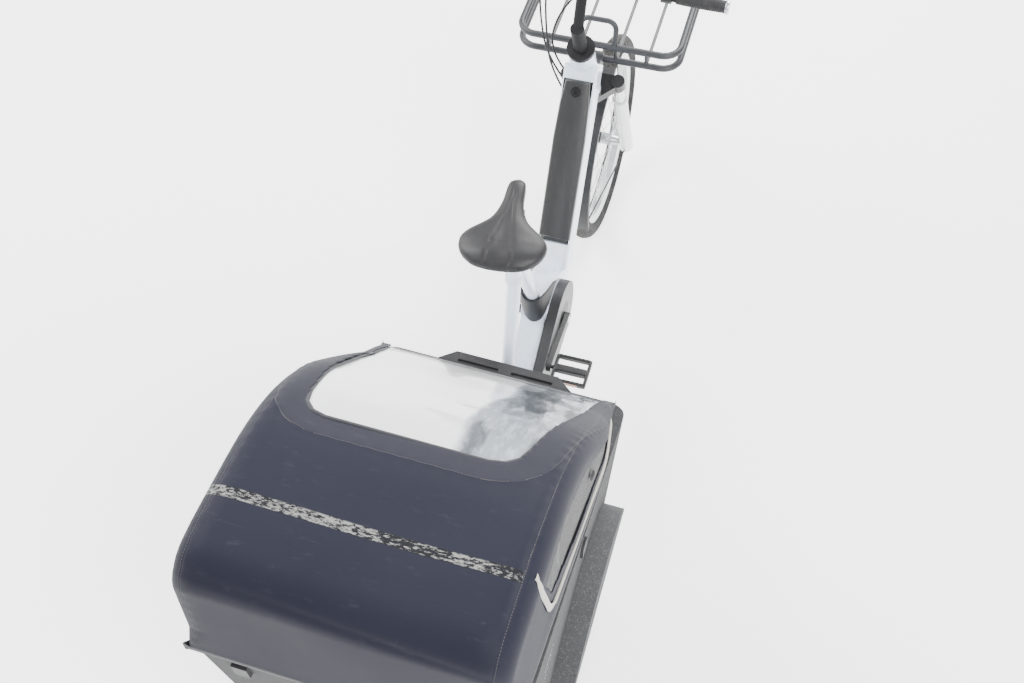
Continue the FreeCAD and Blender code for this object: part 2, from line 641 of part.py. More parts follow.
def steering():
    """Fork crown with steerer and stanchions, stem, handlebar, grips, lever clamps, display."""
    arm_back = FORK_RAKE - CROWN_BACK
    arm_front = FORK_RAKE + CROWN_BACK
    crown_outline = [(CROWN_HALF, -CROWN_BACK), (LEG_X, arm_back), (LEG_X, arm_front), (-LEG_X, arm_front),
                     (-LEG_X, arm_back), (-CROWN_HALF, -CROWN_BACK)]
    plate = face_of([on_steer(CROWN_BOTTOM, forward, x) for x, forward in crown_outline])
    plate = plate.extrude(STEER_UP * (CROWN_TOP - CROWN_BOTTOM))
    crown = [plate, rod(on_steer(CROWN_BOTTOM), on_steer(CROWN_TOP), CROWN_HALF)]
    crown.append(rod(on_steer(CROWN_BOTTOM), on_steer(STEERER_TOP), STEERER_R))
    for x in (-LEG_X, LEG_X):
        crown.append(rod(on_leg(STANCHION_FOOT, x), on_leg(CROWN_TOP, x), STANCHION_R))
        crown.append(rod(on_leg(CROWN_BOTTOM, x), on_leg(CROWN_TOP + CAP_H, x), CAP_R))
    fork_crown = join(crown)

    stem_foot = HEAD_TOP + RING_H + SIDE_GAP
    bar = on_steer(STEM_TOP, STEM_REACH)
    riser = rod(on_steer(stem_foot), on_steer(STEM_RISER + QUILL_R), STEM_R)
    quill = rod(on_steer(STEM_RISER), bar, QUILL_R)
    clamp = cross_rod(-STEM_CLAMP_HALF, STEM_CLAMP_HALF, bar, STEM_CLAMP_R)
    stem = join([riser, quill, clamp]).cut([rod(on_steer(CROWN_TOP), on_steer(STEERER_TOP), STEERER_R),
                                            cross_rod(-BAR_HALF, BAR_HALF, bar, BAR_R)])

    rise = V(0, 0, BAR_RISE)
    end = bar + rise + V(BAR_HALF, -BAR_SWEEP, 0)
    bend = bar + rise + V(BAR_BEND_X, 0, 0)
    right = [bar + V(BAR_FLAT_X, 0, 0), bend, end]
    left = [V(-point.x, point.y, point.z) for point in reversed(right)]
    handlebar = bent_tube(left + right, BAR_BEND_R, BAR_R)

    outward = (end - bend).normalize()
    grip_start = end - outward * GRIP_LENGTH
    cap = end + outward * GRIP_CAP
    middle = (grip_start + end) * 0.5
    swell = [Part.makeCone(GRIP_R - GRIP_TAPER, GRIP_R, GRIP_LENGTH / 2, grip_start, outward),
             Part.makeCone(GRIP_R, GRIP_R - GRIP_TAPER, GRIP_LENGTH / 2, middle, outward),
             rod(end, cap, GRIP_R)]
    grip = join(swell).cut(rod(grip_start - outward, end, BAR_R))

    clamp_at = bend + outward * ((LEVER_CLAMP_X - bend.x) / outward.x)
    pivot = clamp_at + V(0, LEVER_FORWARD, 0)
    half_h = LEVER_H / 2
    ear_h = half_h + SIDE_GAP / 2
    band = rod(clamp_at - outward * LEVER_BAND, clamp_at + outward * LEVER_BAND, BAR_R + LEVER_BAND_T)
    arm = block((pivot.x - LEVER_EYE_R, pivot.x + LEVER_EYE_R), (clamp_at.y, pivot.y + LEVER_EYE_R),
                (pivot.z - ear_h - LEVER_EAR_T, pivot.z + ear_h + LEVER_EAR_T))
    mouth = block((pivot.x - 2 * LEVER_EYE_R, pivot.x + 2 * LEVER_EYE_R),
                  (pivot.y - LEVER_EYE_R - LEVER_MOUTH, pivot.y + 2 * LEVER_EYE_R),
                  (pivot.z - ear_h, pivot.z + ear_h))
    pin = rod(pivot - V(0, 0, ear_h + LEVER_EAR_T), pivot + V(0, 0, ear_h + LEVER_EAR_T), LEVER_PIN_R)
    bar_hole = rod(clamp_at - outward * LEVER_CLAMP_X / 2, clamp_at + outward * LEVER_CLAMP_X / 2, BAR_R)
    lever_clamp = join([band, arm]).cut(bar_hole).cut(mouth)
    lever_clamp = join([lever_clamp, pin])

    tip = pivot + V(LEVER_LENGTH, -BAR_SWEEP / 4, 0)
    eye = rod(pivot - V(0, 0, half_h), pivot + V(0, 0, half_h), LEVER_EYE_R)
    blade = rod(pivot, tip, LEVER_R)
    bulb = rod(tip - V(LEVER_BULB_R, 0, 0), tip + V(LEVER_BULB_R, 0, 0), LEVER_BULB_R)
    pin_hole = rod(pivot - V(0, 0, LEVER_H), pivot + V(0, 0, LEVER_H), LEVER_PIN_R + RUN_GAP)
    lever = join([eye, blade, bulb]).cut(pin_hole)

    screen_z = bar.z + STEM_CLAMP_R - DISPLAY_SINK
    display = block((-DISPLAY_HALF, DISPLAY_HALF), (bar.y - DISPLAY_HALF / 2, bar.y + DISPLAY_HALF),
                    (screen_z, screen_z + DISPLAY_T)).cut(stem)
    return {"fork_crown": fork_crown, "stem": stem, "handlebar": handlebar, "grips": group(both_sides(grip)),
            "lever_clamps": group(both_sides(lever_clamp)), "display": display,
            "brake_lever_right": lever, "brake_lever_left": both_sides(lever)[1]}


def head_and_frame():
    """Head tube with cups, down tube, seat tube, strut, beam, motor, cover and seat clamp."""
    head_line = (on_steer(HEAD_BOTTOM), on_steer(HEAD_TOP))
    head_solid = rod(*head_line, HEAD_R)
    head_tube = head_solid.cut(rod(*head_line, HEAD_BORE_R))
    cups = []
    for lip, start, plug in ((HEAD_BOTTOM - CUP_LIP, HEAD_BOTTOM, HEAD_BOTTOM + CUP_DEPTH),
                             (HEAD_TOP + RING_H, HEAD_TOP, HEAD_TOP - CUP_DEPTH)):
        cup = join([rod(on_steer(start), on_steer(lip), RING_R),
                    rod(on_steer(start), on_steer(plug), HEAD_BORE_R)])
        cups.append(cup.cut(rod(on_steer(CROWN_TOP), on_steer(STEM_TOP), STEERER_R + RUN_GAP)))

    pocket_end = BATTERY_LENGTH + BATTERY_GAP
    tube = skew_prism(on_down, [(-DOWN_HEAD_REACH, 0), (DOWN_LENGTH, 0), (DOWN_LENGTH, -DOWN_DEPTH),
                                (-DOWN_HEAD_REACH, -DOWN_DEPTH)], -DOWN_HALF, DOWN_HALF)
    tube = tube.makeFillet(DOWN_ROUND, edges_along(tube, DOWN_ALONG))
    pocket_floor = BATTERY_DEPTH + BATTERY_GAP
    pocket_half = BATTERY_HALF + BATTERY_GAP
    pocket_outline = [(-BATTERY_GAP, DOWN_DEPTH), (pocket_end, DOWN_DEPTH), (pocket_end, -pocket_floor),
                      (-BATTERY_GAP, -pocket_floor)]
    pocket = skew_prism(on_down, pocket_outline, -pocket_half, pocket_half)
    down_tube = tube.cut([pocket, head_solid])
    down_tube = max(down_tube.Solids, key=lambda solid: solid.Volume)
    pin = cross_rod(BATTERY_HALF - HINGE_DEPTH, DOWN_HALF - SIDE_GAP, hinge_place(), HINGE_R)
    down_tube = join([down_tube] + both_sides(pin))

    motor_foot = on_down(DOWN_LENGTH, -DOWN_DEPTH)
    motor_head = on_down(DOWN_LENGTH, 0)
    back_y = BB_Y - MOTOR_BACK
    top_z = BB_Z + MOTOR_RISE
    low_z = BB_Z - MOTOR_DROP
    gusset_z = BB_Z + GUSSET_RISE
    motor_outline = [(back_y, BB_Z), (back_y + MOTOR_CHAMFER, low_z),
                     (BB_Y + MOTOR_BACK, low_z - MOTOR_CHAMFER / 2), (motor_foot.y, motor_foot.z),
                     (motor_head.y, motor_head.z), (BB_Y + GUSSET_FRONT, gusset_z),
                     (BB_Y - GUSSET_BACK, gusset_z), (back_y, top_z)]
    motor = side_prism(motor_outline, -MOTOR_HALF, MOTOR_HALF)
    motor = motor.cut(cross_rod(-MOTOR_HALF, MOTOR_HALF, BB, SPINDLE_R + RUN_GAP))

    seat_line = (on_seat(top_z - SEAT_TUBE_R), on_seat(SEAT_TUBE_TOP_Z))
    seat_solid = rod(*seat_line, SEAT_TUBE_R)
    bore_foot = on_seat(SEAT_TUBE_TOP_Z - POST_INSERT - SEAT_DROP - SIDE_GAP)
    seat_tube = seat_solid.cut([motor, rod(bore_foot, on_seat(SEAT_TOP_Z), POST_R + RUN_GAP)])

    end_top = on_tilt(BEAM_END_Y) + V(0, 0, BEAM_DEPTH / 2)
    end_low = on_tilt(BEAM_END_Y) - V(0, 0, BEAM_DEPTH / 2)
    beam_outline = [(back_y, top_z), (back_y, BB_Z), (back_y + MOTOR_CHAMFER, low_z), (end_low.y, end_low.z),
                    (end_top.y, end_top.z), (SPROCKET_Y, SPROCKET_Z + BEAM_DEPTH / 2)]
    beam = side_prism(beam_outline, -BEAM_HALF, BEAM_HALF)
    to_face = HOUSING_LENGTH / 2 + SIDE_GAP / 2
    housing_front = TILT_POINT + TILT_AXIS * to_face
    housing_back = TILT_POINT - TILT_AXIS * to_face
    shoulder = rod(housing_front, on_tilt(BEAM_END_Y + COLLAR_R), COLLAR_R)
    nut = rod(housing_back, housing_back - TILT_AXIS * SHAFT_NUT_H, COLLAR_R)
    beam = join([beam, shoulder, rod(housing_back, housing_front, SHAFT_R), nut])
    beam = beam.cut([motor, cross_rod(-BEAM_HALF, BEAM_HALF, SPROCKET, HUB_SHAFT_R + RUN_GAP)])

    boot_z = gusset_z + BOOT_RISE
    boot_low = top_z - BOOT_DROP
    skirt = side_prism([(back_y - BOOT_T, boot_low), (BB_Y, boot_low), (BB_Y, gusset_z),
                        (on_seat(boot_z).y, boot_z), (on_seat(boot_z).y - BOOT_TOP_BACK, boot_z),
                        (back_y - BOOT_T, top_z)], -BOOT_LOW_HALF, BOOT_LOW_HALF)
    taper = face_of([V(x, 0, z) for x, z in ((-BOOT_LOW_HALF, boot_low), (BOOT_LOW_HALF, boot_low),
                                             (BOOT_LOW_HALF, top_z), (BOOT_TOP_HALF, boot_z),
                                             (-BOOT_TOP_HALF, boot_z), (-BOOT_LOW_HALF, top_z))])
    skirt = skirt.common(taper.extrude(V(0, BB_Y, 0)))
    fin = side_prism([(back_y, boot_low), (BB_Y, gusset_z - FIN_LOW), (BB_Y + FIN_FRONT, gusset_z),
                      (BB_Y + FIN_FRONT - FIN_RISE, gusset_z + FIN_RISE), (BB_Y - GUSSET_BACK, gusset_z),
                      (back_y, top_z)], MOTOR_HALF, MOTOR_HALF + FIN_T)
    case_grow = CHAIN_HALF_T + CASE_GAP + CASE_WALL + SOFT_GAP
    case_room = drive_loop(case_grow, MOTOR_HALF - SOFT_GAP, 2 * DOWN_HALF)
    cover = join([skirt] + both_sides(fin)).cut([seat_solid, motor, tube, case_room, beam])
    cover = max(cover.Solids, key=lambda solid: solid.Volume)

    strut_top = on_seat(STRUT_TOP_Z - STRUT_R)
    strut_foot = V(0, BEAM_END_Y + 1.5 * STRUT_R, end_top.z - STRUT_R / 2)
    strut_solid = rod(strut_foot, strut_top, STRUT_R)
    strut = strut_solid.cut([beam, seat_solid])
    strut = max(strut.Solids, key=lambda solid: solid.Volume)
    strut_up = (strut_top - strut_foot).normalize()
    band_at = strut_foot + strut_up * ((STRUT_BAND_Z - strut_foot.z) / strut_up.z)
    band = rod(band_at, band_at + strut_up * STRUT_BAND_H, STRUT_R + CLAMP_T).cut(strut_solid)

    ring_foot = on_seat(SEAT_TUBE_TOP_Z - CLAMP_H)
    ring = rod(ring_foot, on_seat(SEAT_TUBE_TOP_Z), SEAT_TUBE_R + CLAMP_T).cut([seat_solid, strut])
    ear = block((-CLAMP_EAR, CLAMP_EAR), (0, SEAT_TUBE_R + 3 * CLAMP_T), (-CLAMP_H, 0))
    ear.translate(on_seat(SEAT_TUBE_TOP_Z))
    collar = join([max(ring.Solids, key=lambda solid: solid.Volume), ear.cut(seat_solid)])
    return {"head_tube": head_tube, "headset": group(cups), "down_tube": down_tube, "motor_unit": motor,
            "motor_cover": cover, "seat_tube": seat_tube, "pivot_beam": beam, "rear_strut": strut,
            "seat_clamp": group([collar, band])}


def hinge_place():
    """Middle of the battery's hinge line, near its foot."""
    return on_down(BATTERY_LENGTH - HINGE_UP, -HINGE_IN)


def battery():
    """Battery pack that swings out of the down tube, with its lid and lock."""
    face = SOFT_GAP + 1
    foot = BATTERY_LENGTH
    outline = [(0, face), (foot - HEEL_CUT, face), (foot, -HEEL_DEPTH), (foot, TOE_CUT - BATTERY_DEPTH),
               (foot - TOE_CUT, -BATTERY_DEPTH), (BATTERY_NECK, -BATTERY_DEPTH), (0, -BATTERY_NECK)]
    pack = skew_prism(on_down, outline, -BATTERY_HALF, BATTERY_HALF)
    pack = pack.makeFillet(BATTERY_ROUND, edges_along(pack, DOWN_ALONG))
    right = [(LID_TOP_HALF, 0), (LID_SHOULDER_HALF, LID_SHOULDER), (LID_HALF, LID_FULL),
             (LID_HALF, foot - LID_SHORT)]
    plan = right + [(-x, along) for x, along in reversed(right)]
    lid = face_of([on_down(along, SOFT_GAP, x) for x, along in plan]).extrude(DOWN_OUT * LID_T)
    lid_top = SOFT_GAP + LID_T

    def on_lid_top(edge):
        return all(abs((v.Point - BATTERY_TOP).dot(DOWN_OUT) - lid_top) < SOFT_GAP for v in edge.Vertexes)

    lid = lid.makeFillet(LID_ROUND, [edge for edge in lid.Edges if on_lid_top(edge)])
    lock_top = lid_top + LOCK_PROUD
    barrel = rod(on_down(LOCK_AT, -LOCK_R), on_down(LOCK_AT, lock_top), LOCK_R)
    lock = barrel.cut(rod(on_down(LOCK_AT, lid_top), on_down(LOCK_AT, lock_top), LOCK_R / 3))
    pin_hole = cross_rod(BATTERY_HALF - HINGE_DEPTH - SIDE_GAP, DOWN_HALF, hinge_place(), HINGE_R + RUN_GAP)
    pack = join([pack, lid]).cut([barrel] + both_sides(pin_hole))
    return {"battery": pack, "battery_lock": lock}


def saddle():
    """Seatpost with its head, two saddle rails, and the padded saddle."""
    sections = []
    for reach, part, crown, drop in SADDLE_SECTIONS:
        half = part * SADDLE_HALF
        y = SADDLE_NOSE_Y - SADDLE_LENGTH * reach
        top = SADDLE_TOP_Z + crown
        low = SADDLE_TOP_Z - drop
        brow = top - min(SADDLE_BROW * half, SADDLE_BROW_MOST * (top - low))
        arc = Part.Arc(V(-half, y, brow), V(0, y, top), V(half, y, brow)).toShape()
        foot = half * SADDLE_FOOT
        corners = [V(half, y, brow), V(foot, y, low), V(-foot, y, low), V(-half, y, brow)]
        sides = [Part.LineSegment(a, b).toShape() for a, b in zip(corners, corners[1:])]
        sections.append(Part.Wire([arc] + sides))
    pad = Part.makeLoft(sections, True, False)
    groove_z = SADDLE_TOP_Z + GROOVE_R - GROOVE_DEPTH
    groove_front, groove_back = [V(0, SADDLE_NOSE_Y - SADDLE_LENGTH * part, groove_z) for part in GROOVE_SPAN]
    pad = pad.cut(rod(groove_front, groove_back, GROOVE_R))

    rail_z = SEAT_TOP_Z
    front_y, back_y = [SADDLE_NOSE_Y - SADDLE_LENGTH * part for part in RAIL_SPAN]
    lift = SADDLE_TOP_Z - SADDLE_T + RAIL_SINK
    rail_points = [V(RAIL_X, front_y, lift), V(RAIL_X, front_y - RAIL_RAMP, rail_z),
                   V(RAIL_X, back_y + RAIL_RAMP, rail_z), V(RAIL_X, back_y, lift)]
    rail = bent_tube(rail_points, RAIL_BEND, RAIL_R).cut(pad)
    rail = max(rail.Solids, key=lambda solid: solid.Volume)
    rails = both_sides(rail)

    foot = on_seat(SEAT_TUBE_TOP_Z - POST_INSERT)
    post = rod(foot, on_seat(SEAT_TOP_Z - RAIL_R), POST_R)
    yoke_x = RAIL_X + 3 * RAIL_R
    yoke = block((-yoke_x, yoke_x), (SEAT_TOP_Y - YOKE_HALF, SEAT_TOP_Y + YOKE_HALF),
                 (rail_z - YOKE_LOW, rail_z + YOKE_HIGH))
    seatpost = join([post, yoke]).cut(rails)
    nodes = {"saddle": pad, "saddle_rails": group(rails), "seatpost": seatpost}
    for shape in nodes.values():
        shape.rotate(SEAT_TOP, SEAT_UP, SADDLE_TWIST)
    return nodes


def crank():
    """Crank arms with spindle and pedal axles, chainring, and two pedals."""
    turn = math.radians(CRANK_ANGLE)
    reach = V(0, math.cos(turn), math.sin(turn)) * CRANK_LENGTH
    out_x = CRANK_X + CRANK_T
    axle_end = PEDAL_IN_X + PEDAL_W - SIDE_GAP
    pieces = [cross_rod(-CRANK_X, CRANK_X, BB, SPINDLE_R)]
    for side in (1, -1):
        eye = BB + reach * side
        low_x = CRANK_X if side > 0 else -out_x
        pieces.append(belt(BB, CRANK_BOSS_R, eye, CRANK_EYE_R, low_x, low_x + CRANK_T))
        ends = sorted((side * CRANK_X, side * axle_end))
        pieces.append(cross_rod(ends[0], ends[1], eye, PEDAL_AXLE_R))
    arms = join(pieces)

    ring_r = RING_CHAIN_R - CHAIN_HALF_T - SOFT_GAP
    ring = cross_rod(CHAIN_X - RING_T / 2, CHAIN_X + RING_T / 2, BB, ring_r)
    hub = cross_rod(CHAIN_X - RING_T / 2, CRANK_X, BB, CRANK_BOSS_R)
    windows = []
    for index in range(RING_ARMS):
        spread = 2 * math.pi * index / RING_ARMS
        middle = BB + V(0, math.cos(spread), math.sin(spread)) * (ring_r * 0.62)
        windows.append(cross_rod(CHAIN_X - RING_T, CHAIN_X + RING_T, middle, ring_r * 0.2))
    chainring = join([ring, hub]).cut(windows).cut(cross_rod(-CRANK_X, CRANK_X, BB, SPINDLE_R))

    pedals = {}
    for name, side in (("pedal_right", 1), ("pedal_left", -1)):
        middle = BB + reach * side
        half_l = PEDAL_LENGTH / 2
        half_t = PEDAL_T / 2
        x0 = PEDAL_IN_X
        x1 = x0 + PEDAL_W
        cage = block((x0, x1), (-half_l, half_l), (-half_t, half_t))
        slot_y = PEDAL_AXLE_R + 2 * PEDAL_BAR
        for y0, y1 in ((slot_y, half_l - PEDAL_BAR), (PEDAL_BAR - half_l, -slot_y)):
            cage = cage.cut(block((x0 + PEDAL_BAR, x1 - PEDAL_BAR), (y0, y1), (-PEDAL_T, PEDAL_T)))
        standing = edges_along(cage, V(0, 0, 1))
        corners = [edge for edge in standing if abs(abs(edge.CenterOfMass.y) - half_l) < 1]
        cage = cage.makeFillet(PEDAL_ROUND, corners)
        cage = cage.cut(cross_rod(x0 - 1, x1 + 1, V(0, 0, 0), PEDAL_AXLE_R + RUN_GAP))
        lens = block((x0 + 3 * PEDAL_BAR, x1 - 3 * PEDAL_BAR), (half_l - LENS_T, half_l),
                     (-half_t / 2, half_t / 2))
        lenses = [lens, lens.mirror(V(0, 0, 0), V(0, 1, 0))]
        cage = cage.cut(lenses)
        node = group([cage] + lenses)
        if side < 0:
            node = node.mirror(V(0, 0, 0), X_AXIS)
        node.translate(middle)
        pedals[name] = node
    return {"crank_arms": arms, "chainring": chainring, **pedals}


def chain_drive():
    """Chain case, chain, and the rear sprocket on its shaft."""
    inner = CHAIN_HALF_T + CASE_GAP
    case_x0 = MOTOR_HALF
    case = drive_loop(inner + CASE_WALL, case_x0, case_x0 + CASE_W)
    case = case.cut(drive_loop(inner, case_x0 + CASE_WALL, case_x0 + CASE_W - CASE_WALL))
    case = case.cut([cross_rod(0, 2 * CRANK_X, BB, CRANK_BOSS_R + 2 * SIDE_GAP),
                     cross_rod(0, case_x0 + CASE_WALL + 1, SPROCKET, HUB_SHAFT_R + SIDE_GAP)])
    chain = drive_loop(CHAIN_HALF_T, CHAIN_X - CHAIN_W / 2, CHAIN_X + CHAIN_W / 2)
    chain = chain.cut(drive_loop(-CHAIN_HALF_T, CHAIN_X - CHAIN_W, CHAIN_X + CHAIN_W))
    flange_x = BEAM_HALF + SIDE_GAP
    teeth_r = SPROCKET_CHAIN_R - CHAIN_HALF_T - SOFT_GAP
    teeth_x = CHAIN_X + RING_T / 2
    hub = join([cross_rod(-flange_x, teeth_x, SPROCKET, HUB_SHAFT_R),
                cross_rod(teeth_x - RING_T, teeth_x, SPROCKET, teeth_r),
                cross_rod(-flange_x - RING_T, -flange_x, SPROCKET, 2 * HUB_SHAFT_R)])
    return {"chain_case": case, "chain": chain, "drive_hub": hub}


def rack_loop(z):
    """Rounded rectangle of tube, made as two halves that meet in the middle."""
    front_y = RACK_REAR_Y + RACK_LENGTH
    half = [V(0, RACK_REAR_Y, z), V(RACK_HALF, RACK_REAR_Y, z), V(RACK_HALF, front_y, z), V(0, front_y, z)]
    return both_sides(bent_tube(half, RACK_CORNER, RACK_R))


def front_rack():
    """Two tube loops with slats, hoop and bracket, carried by the head tube, and the headlight."""
    top_z = RACK_Z + RACK_RISE
    front_y = RACK_REAR_Y + RACK_LENGTH
    pieces = rack_loop(RACK_Z) + rack_loop(top_z)
    for part in SLAT_SPACING:
        x = part * RACK_HALF
        pieces.append(rod(V(x, RACK_REAR_Y, RACK_Z), V(x, front_y, RACK_Z), SLAT_R))
        for y in (RACK_REAR_Y, front_y):
            pieces.append(rod(V(x, y, RACK_Z), V(x, y, top_z), SLAT_R))
    hoop_y = RACK_REAR_Y + HOOP_LEAN
    hoop = [V(HOOP_HALF, RACK_REAR_Y, top_z), V(HOOP_HALF, hoop_y, top_z + HOOP_RISE),
            V(-HOOP_HALF, hoop_y, top_z + HOOP_RISE), V(-HOOP_HALF, RACK_REAR_Y, top_z)]
    pieces.append(bent_tube(hoop, HOOP_BEND, HOOP_R))
    bracket_back = on_steer((RACK_Z - STEER_FOOT.z) / STEER_UP.z).y
    bracket = block((-BRACKET_HALF, BRACKET_HALF), (bracket_back, RACK_REAR_Y),
                    (RACK_Z - RACK_R, RACK_Z + BRACKET_RISE))
    bracket = bracket.cut(rod(on_steer(CROWN_TOP), on_steer(STEM_TOP), HEAD_R))
    bracket = max(bracket.Solids, key=lambda solid: solid.CenterOfMass.y)
    rack = join(pieces + [bracket])

    lamp_z = RACK_Z + RACK_RISE / 2
    lamp_y = front_y + RACK_R
    bowl = Part.makeCone(LAMP_R * 0.7, LAMP_R, LAMP_LENGTH, V(0, lamp_y, lamp_z), V(0, 1, 0))
    foot = block((-LAMP_R / 2, LAMP_R / 2), (front_y, lamp_y + RACK_R), (RACK_Z, top_z))
    lamp = join([bowl, foot]).cut(rack)
    lamp = max(lamp.Solids, key=lambda solid: solid.Volume)
    return {"front_rack": rack, "headlight": lamp}


def cord_tube(points, radius):
    """Cord along hand-chosen points, with arcs as large as the runs beside them allow."""
    edges = []
    start = points[0]
    for before, corner, after in zip(points, points[1:], points[2:]):
        back = before - corner
        ahead = after - corner
        reach = 0.45 * min(back.Length, ahead.Length)
        back = back.normalize()
        ahead = ahead.normalize()
        half = back.getAngle(ahead) / 2
        bend = reach * math.tan(half)
        print("cable bend radius", round(bend))
        middle = corner + (back + ahead).normalize() * (bend / math.sin(half) - bend)
        edges.append(Part.LineSegment(start, corner + back * reach).toShape())
        edges.append(Part.Arc(corner + back * reach, middle, corner + ahead * reach).toShape())
        start = corner + ahead * reach
    edges.append(Part.LineSegment(start, points[-1]).toShape())
    path = Part.Wire(edges)
    profile = Part.Wire(Part.makeCircle(radius, points[0], points[1] - points[0]))
    tube = path.makePipeShell([profile], True, False)
    ratio = tube.Volume / (math.pi * radius ** 2 * path.Length)
    print("cable", round(path.Length), "mm, volume ratio", round(ratio, 4))
    return tube


def cables(ends):
    """Brake hoses and the display lead, from the levers round the head tube, cut at their end pieces."""
    bar = on_steer(STEM_TOP, STEM_REACH)
    routes = []
    for points in CABLE_ROUTES:
        tube = cord_tube([V(x, bar.y + y, bar.z + z) for x, y, z in points], CABLE_R).cut(ends)
        routes.append(max(tube.Solids, key=lambda solid: solid.Volume))
    return {"control_cables": group(routes)}


def tub_front(z):
    """Y of the tub's front face at a height."""
    return TUB_BASE_FRONT_Y + (RIM_FRONT_Y - TUB_BASE_FRONT_Y) * (z - TUB_BASE_Z) / (RIM_FRONT_Z - TUB_BASE_Z)


def tub_rear(z):
    """Y of the tub's rear face at a height."""
    return TUB_BASE_REAR_Y + (RIM_REAR_Y - TUB_BASE_REAR_Y) * (z - TUB_BASE_Z) / (RIM_REAR_Z - TUB_BASE_Z)


def rim_z(y):
    """Height of the tub's sloping rim at a Y."""
    return RIM_FRONT_Z + (RIM_REAR_Z - RIM_FRONT_Z) * (RIM_FRONT_Y - y) / (RIM_FRONT_Y - RIM_REAR_Y)


def tub_block():
    """Outside of the tub, with its four standing corners rounded."""
    shape = side_prism([(TUB_BASE_FRONT_Y, TUB_BASE_Z), (RIM_FRONT_Y, RIM_FRONT_Z), (RIM_REAR_Y, RIM_REAR_Z),
                        (TUB_BASE_REAR_Y, TUB_BASE_Z)], -TUB_HALF, TUB_HALF)
    front = V(0, RIM_FRONT_Y - TUB_BASE_FRONT_Y, RIM_FRONT_Z - TUB_BASE_Z).normalize()
    rear = V(0, RIM_REAR_Y - TUB_BASE_REAR_Y, RIM_REAR_Z - TUB_BASE_Z).normalize()
    return shape.makeFillet(TUB_ROUND, edges_along(shape, front) + edges_along(shape, rear))


def bolt_heads():
    """Heads of the bolts that hold the tub down, sunk flush in its floor."""
    floor_z = TUB_BASE_Z + TUB_WALL
    heads = []
    for x in (-RAIL_SPACING, RAIL_SPACING):
        for y in (TUB_BASE_FRONT_Y - 4 * TUB_WALL, BENCH_FRONT_Y + 3 * TUB_WALL):
            heads.append(Part.makeCylinder(BOLT_HEAD_R, BOLT_HEAD_H, V(x, y, floor_z - BOLT_HEAD_H)))
    return heads


def tub():
    """Foam tub with wheel wells and a bench step, its front plate and its wheel covers."""
    floor_z = TUB_BASE_Z + TUB_WALL
    cover_r = REAR_TYRE_R + COVER_GAP + COVER_T
    shelf_z = REAR_TYRE_R + cover_r + TUB_WALL
    over_z = RIM_REAR_Z + TUB_WALL
    wall = TUB_WALL * WALL_SLANT
    upper = side_prism([(tub_front(shelf_z) - wall, shelf_z), (tub_front(over_z) - wall, over_z),
                        (tub_rear(over_z) + wall, over_z), (tub_rear(shelf_z) + wall, shelf_z)],
                       TUB_WALL - TUB_HALF, TUB_HALF - TUB_WALL)
    lower = side_prism([(tub_front(floor_z) - wall, floor_z), (tub_front(shelf_z) - wall, shelf_z),
                        (tub_rear(shelf_z) + wall, shelf_z), (tub_rear(BENCH_Z) + wall, BENCH_Z),
                        (BENCH_FRONT_Y, BENCH_Z), (BENCH_FRONT_Y, floor_z)], -TUB_INNER_LOW, TUB_INNER_LOW)
    well_x = TUB_INNER_LOW + TUB_WALL
    well = cross_rod(well_x, COVER_HALF, REAR_AXLE, cover_r)
    shell = tub_block().cut([upper, lower] + both_sides(well) + bolt_heads())

    ring = cross_rod(well_x + SIDE_GAP, COVER_HALF, REAR_AXLE, cover_r)
    ring = ring.cut(cross_rod(well_x, COVER_HALF - COVER_T, REAR_AXLE, cover_r - COVER_T))
    above = block((0, COVER_HALF), (REAR_AXLE_Y - cover_r, REAR_AXLE_Y + cover_r),
                  (COVER_SKIRT_Z, RIM_REAR_Z))
    cover = ring.common(above)

    plate_y = RIM_FRONT_Y
    plate_z = RIM_FRONT_Z
    plate = plan_prism([(-PLATE_REAR_HALF, plate_y - TUB_WALL / 2), (PLATE_REAR_HALF, plate_y - TUB_WALL / 2),
                        (PLATE_REAR_HALF, plate_y), (PLATE_FRONT_HALF, plate_y + PLATE_DEPTH),
                        (-PLATE_FRONT_HALF, plate_y + PLATE_DEPTH), (-PLATE_REAR_HALF, plate_y)],
                       plate_z - PLATE_T, plate_z)
    slot_y = plate_y + PLATE_SLOT_W / 2
    slot = block((PLATE_SLOT_IN, PLATE_SLOT_OUT), (slot_y, slot_y + PLATE_SLOT_W),
                 (plate_z - PLATE_SLOT_DEPTH, plate_z))
    plate = plate.cut(both_sides(slot) + [tub_block()])
    return {"cargo_tub": shell, "front_plate": plate, "cover_right": cover,
            "cover_left": both_sides(cover)[1]}


def roof_crest():
    """Y of the hood's highest line, where the roof arc meets the back arc."""
    angle = math.radians(SCREEN_ANGLE)
    knee_z = ROOF_Z - ROOF_ARC_R * (1 - math.cos(angle))
    knee_y = RIM_FRONT_Y - (knee_z - RIM_FRONT_Z) / math.tan(angle)
    return knee_y - ROOF_ARC_R * math.sin(angle)


def roof_z(y):
    """Height of the roof arc at a Y."""
    return ROOF_Z - ROOF_ARC_R + math.sqrt(ROOF_ARC_R ** 2 - (y - roof_crest()) ** 2)


def bow_x(z):
    """X of a bow's side run at a height, just inside the hood's side."""
    slope = (TUB_HALF - HOOD_TOP_HALF) / (ROOF_Z - RIM_FRONT_Z)
    return TUB_HALF - (z - RIM_FRONT_Z) * slope - HOOD_T - BOW_R - SIDE_GAP


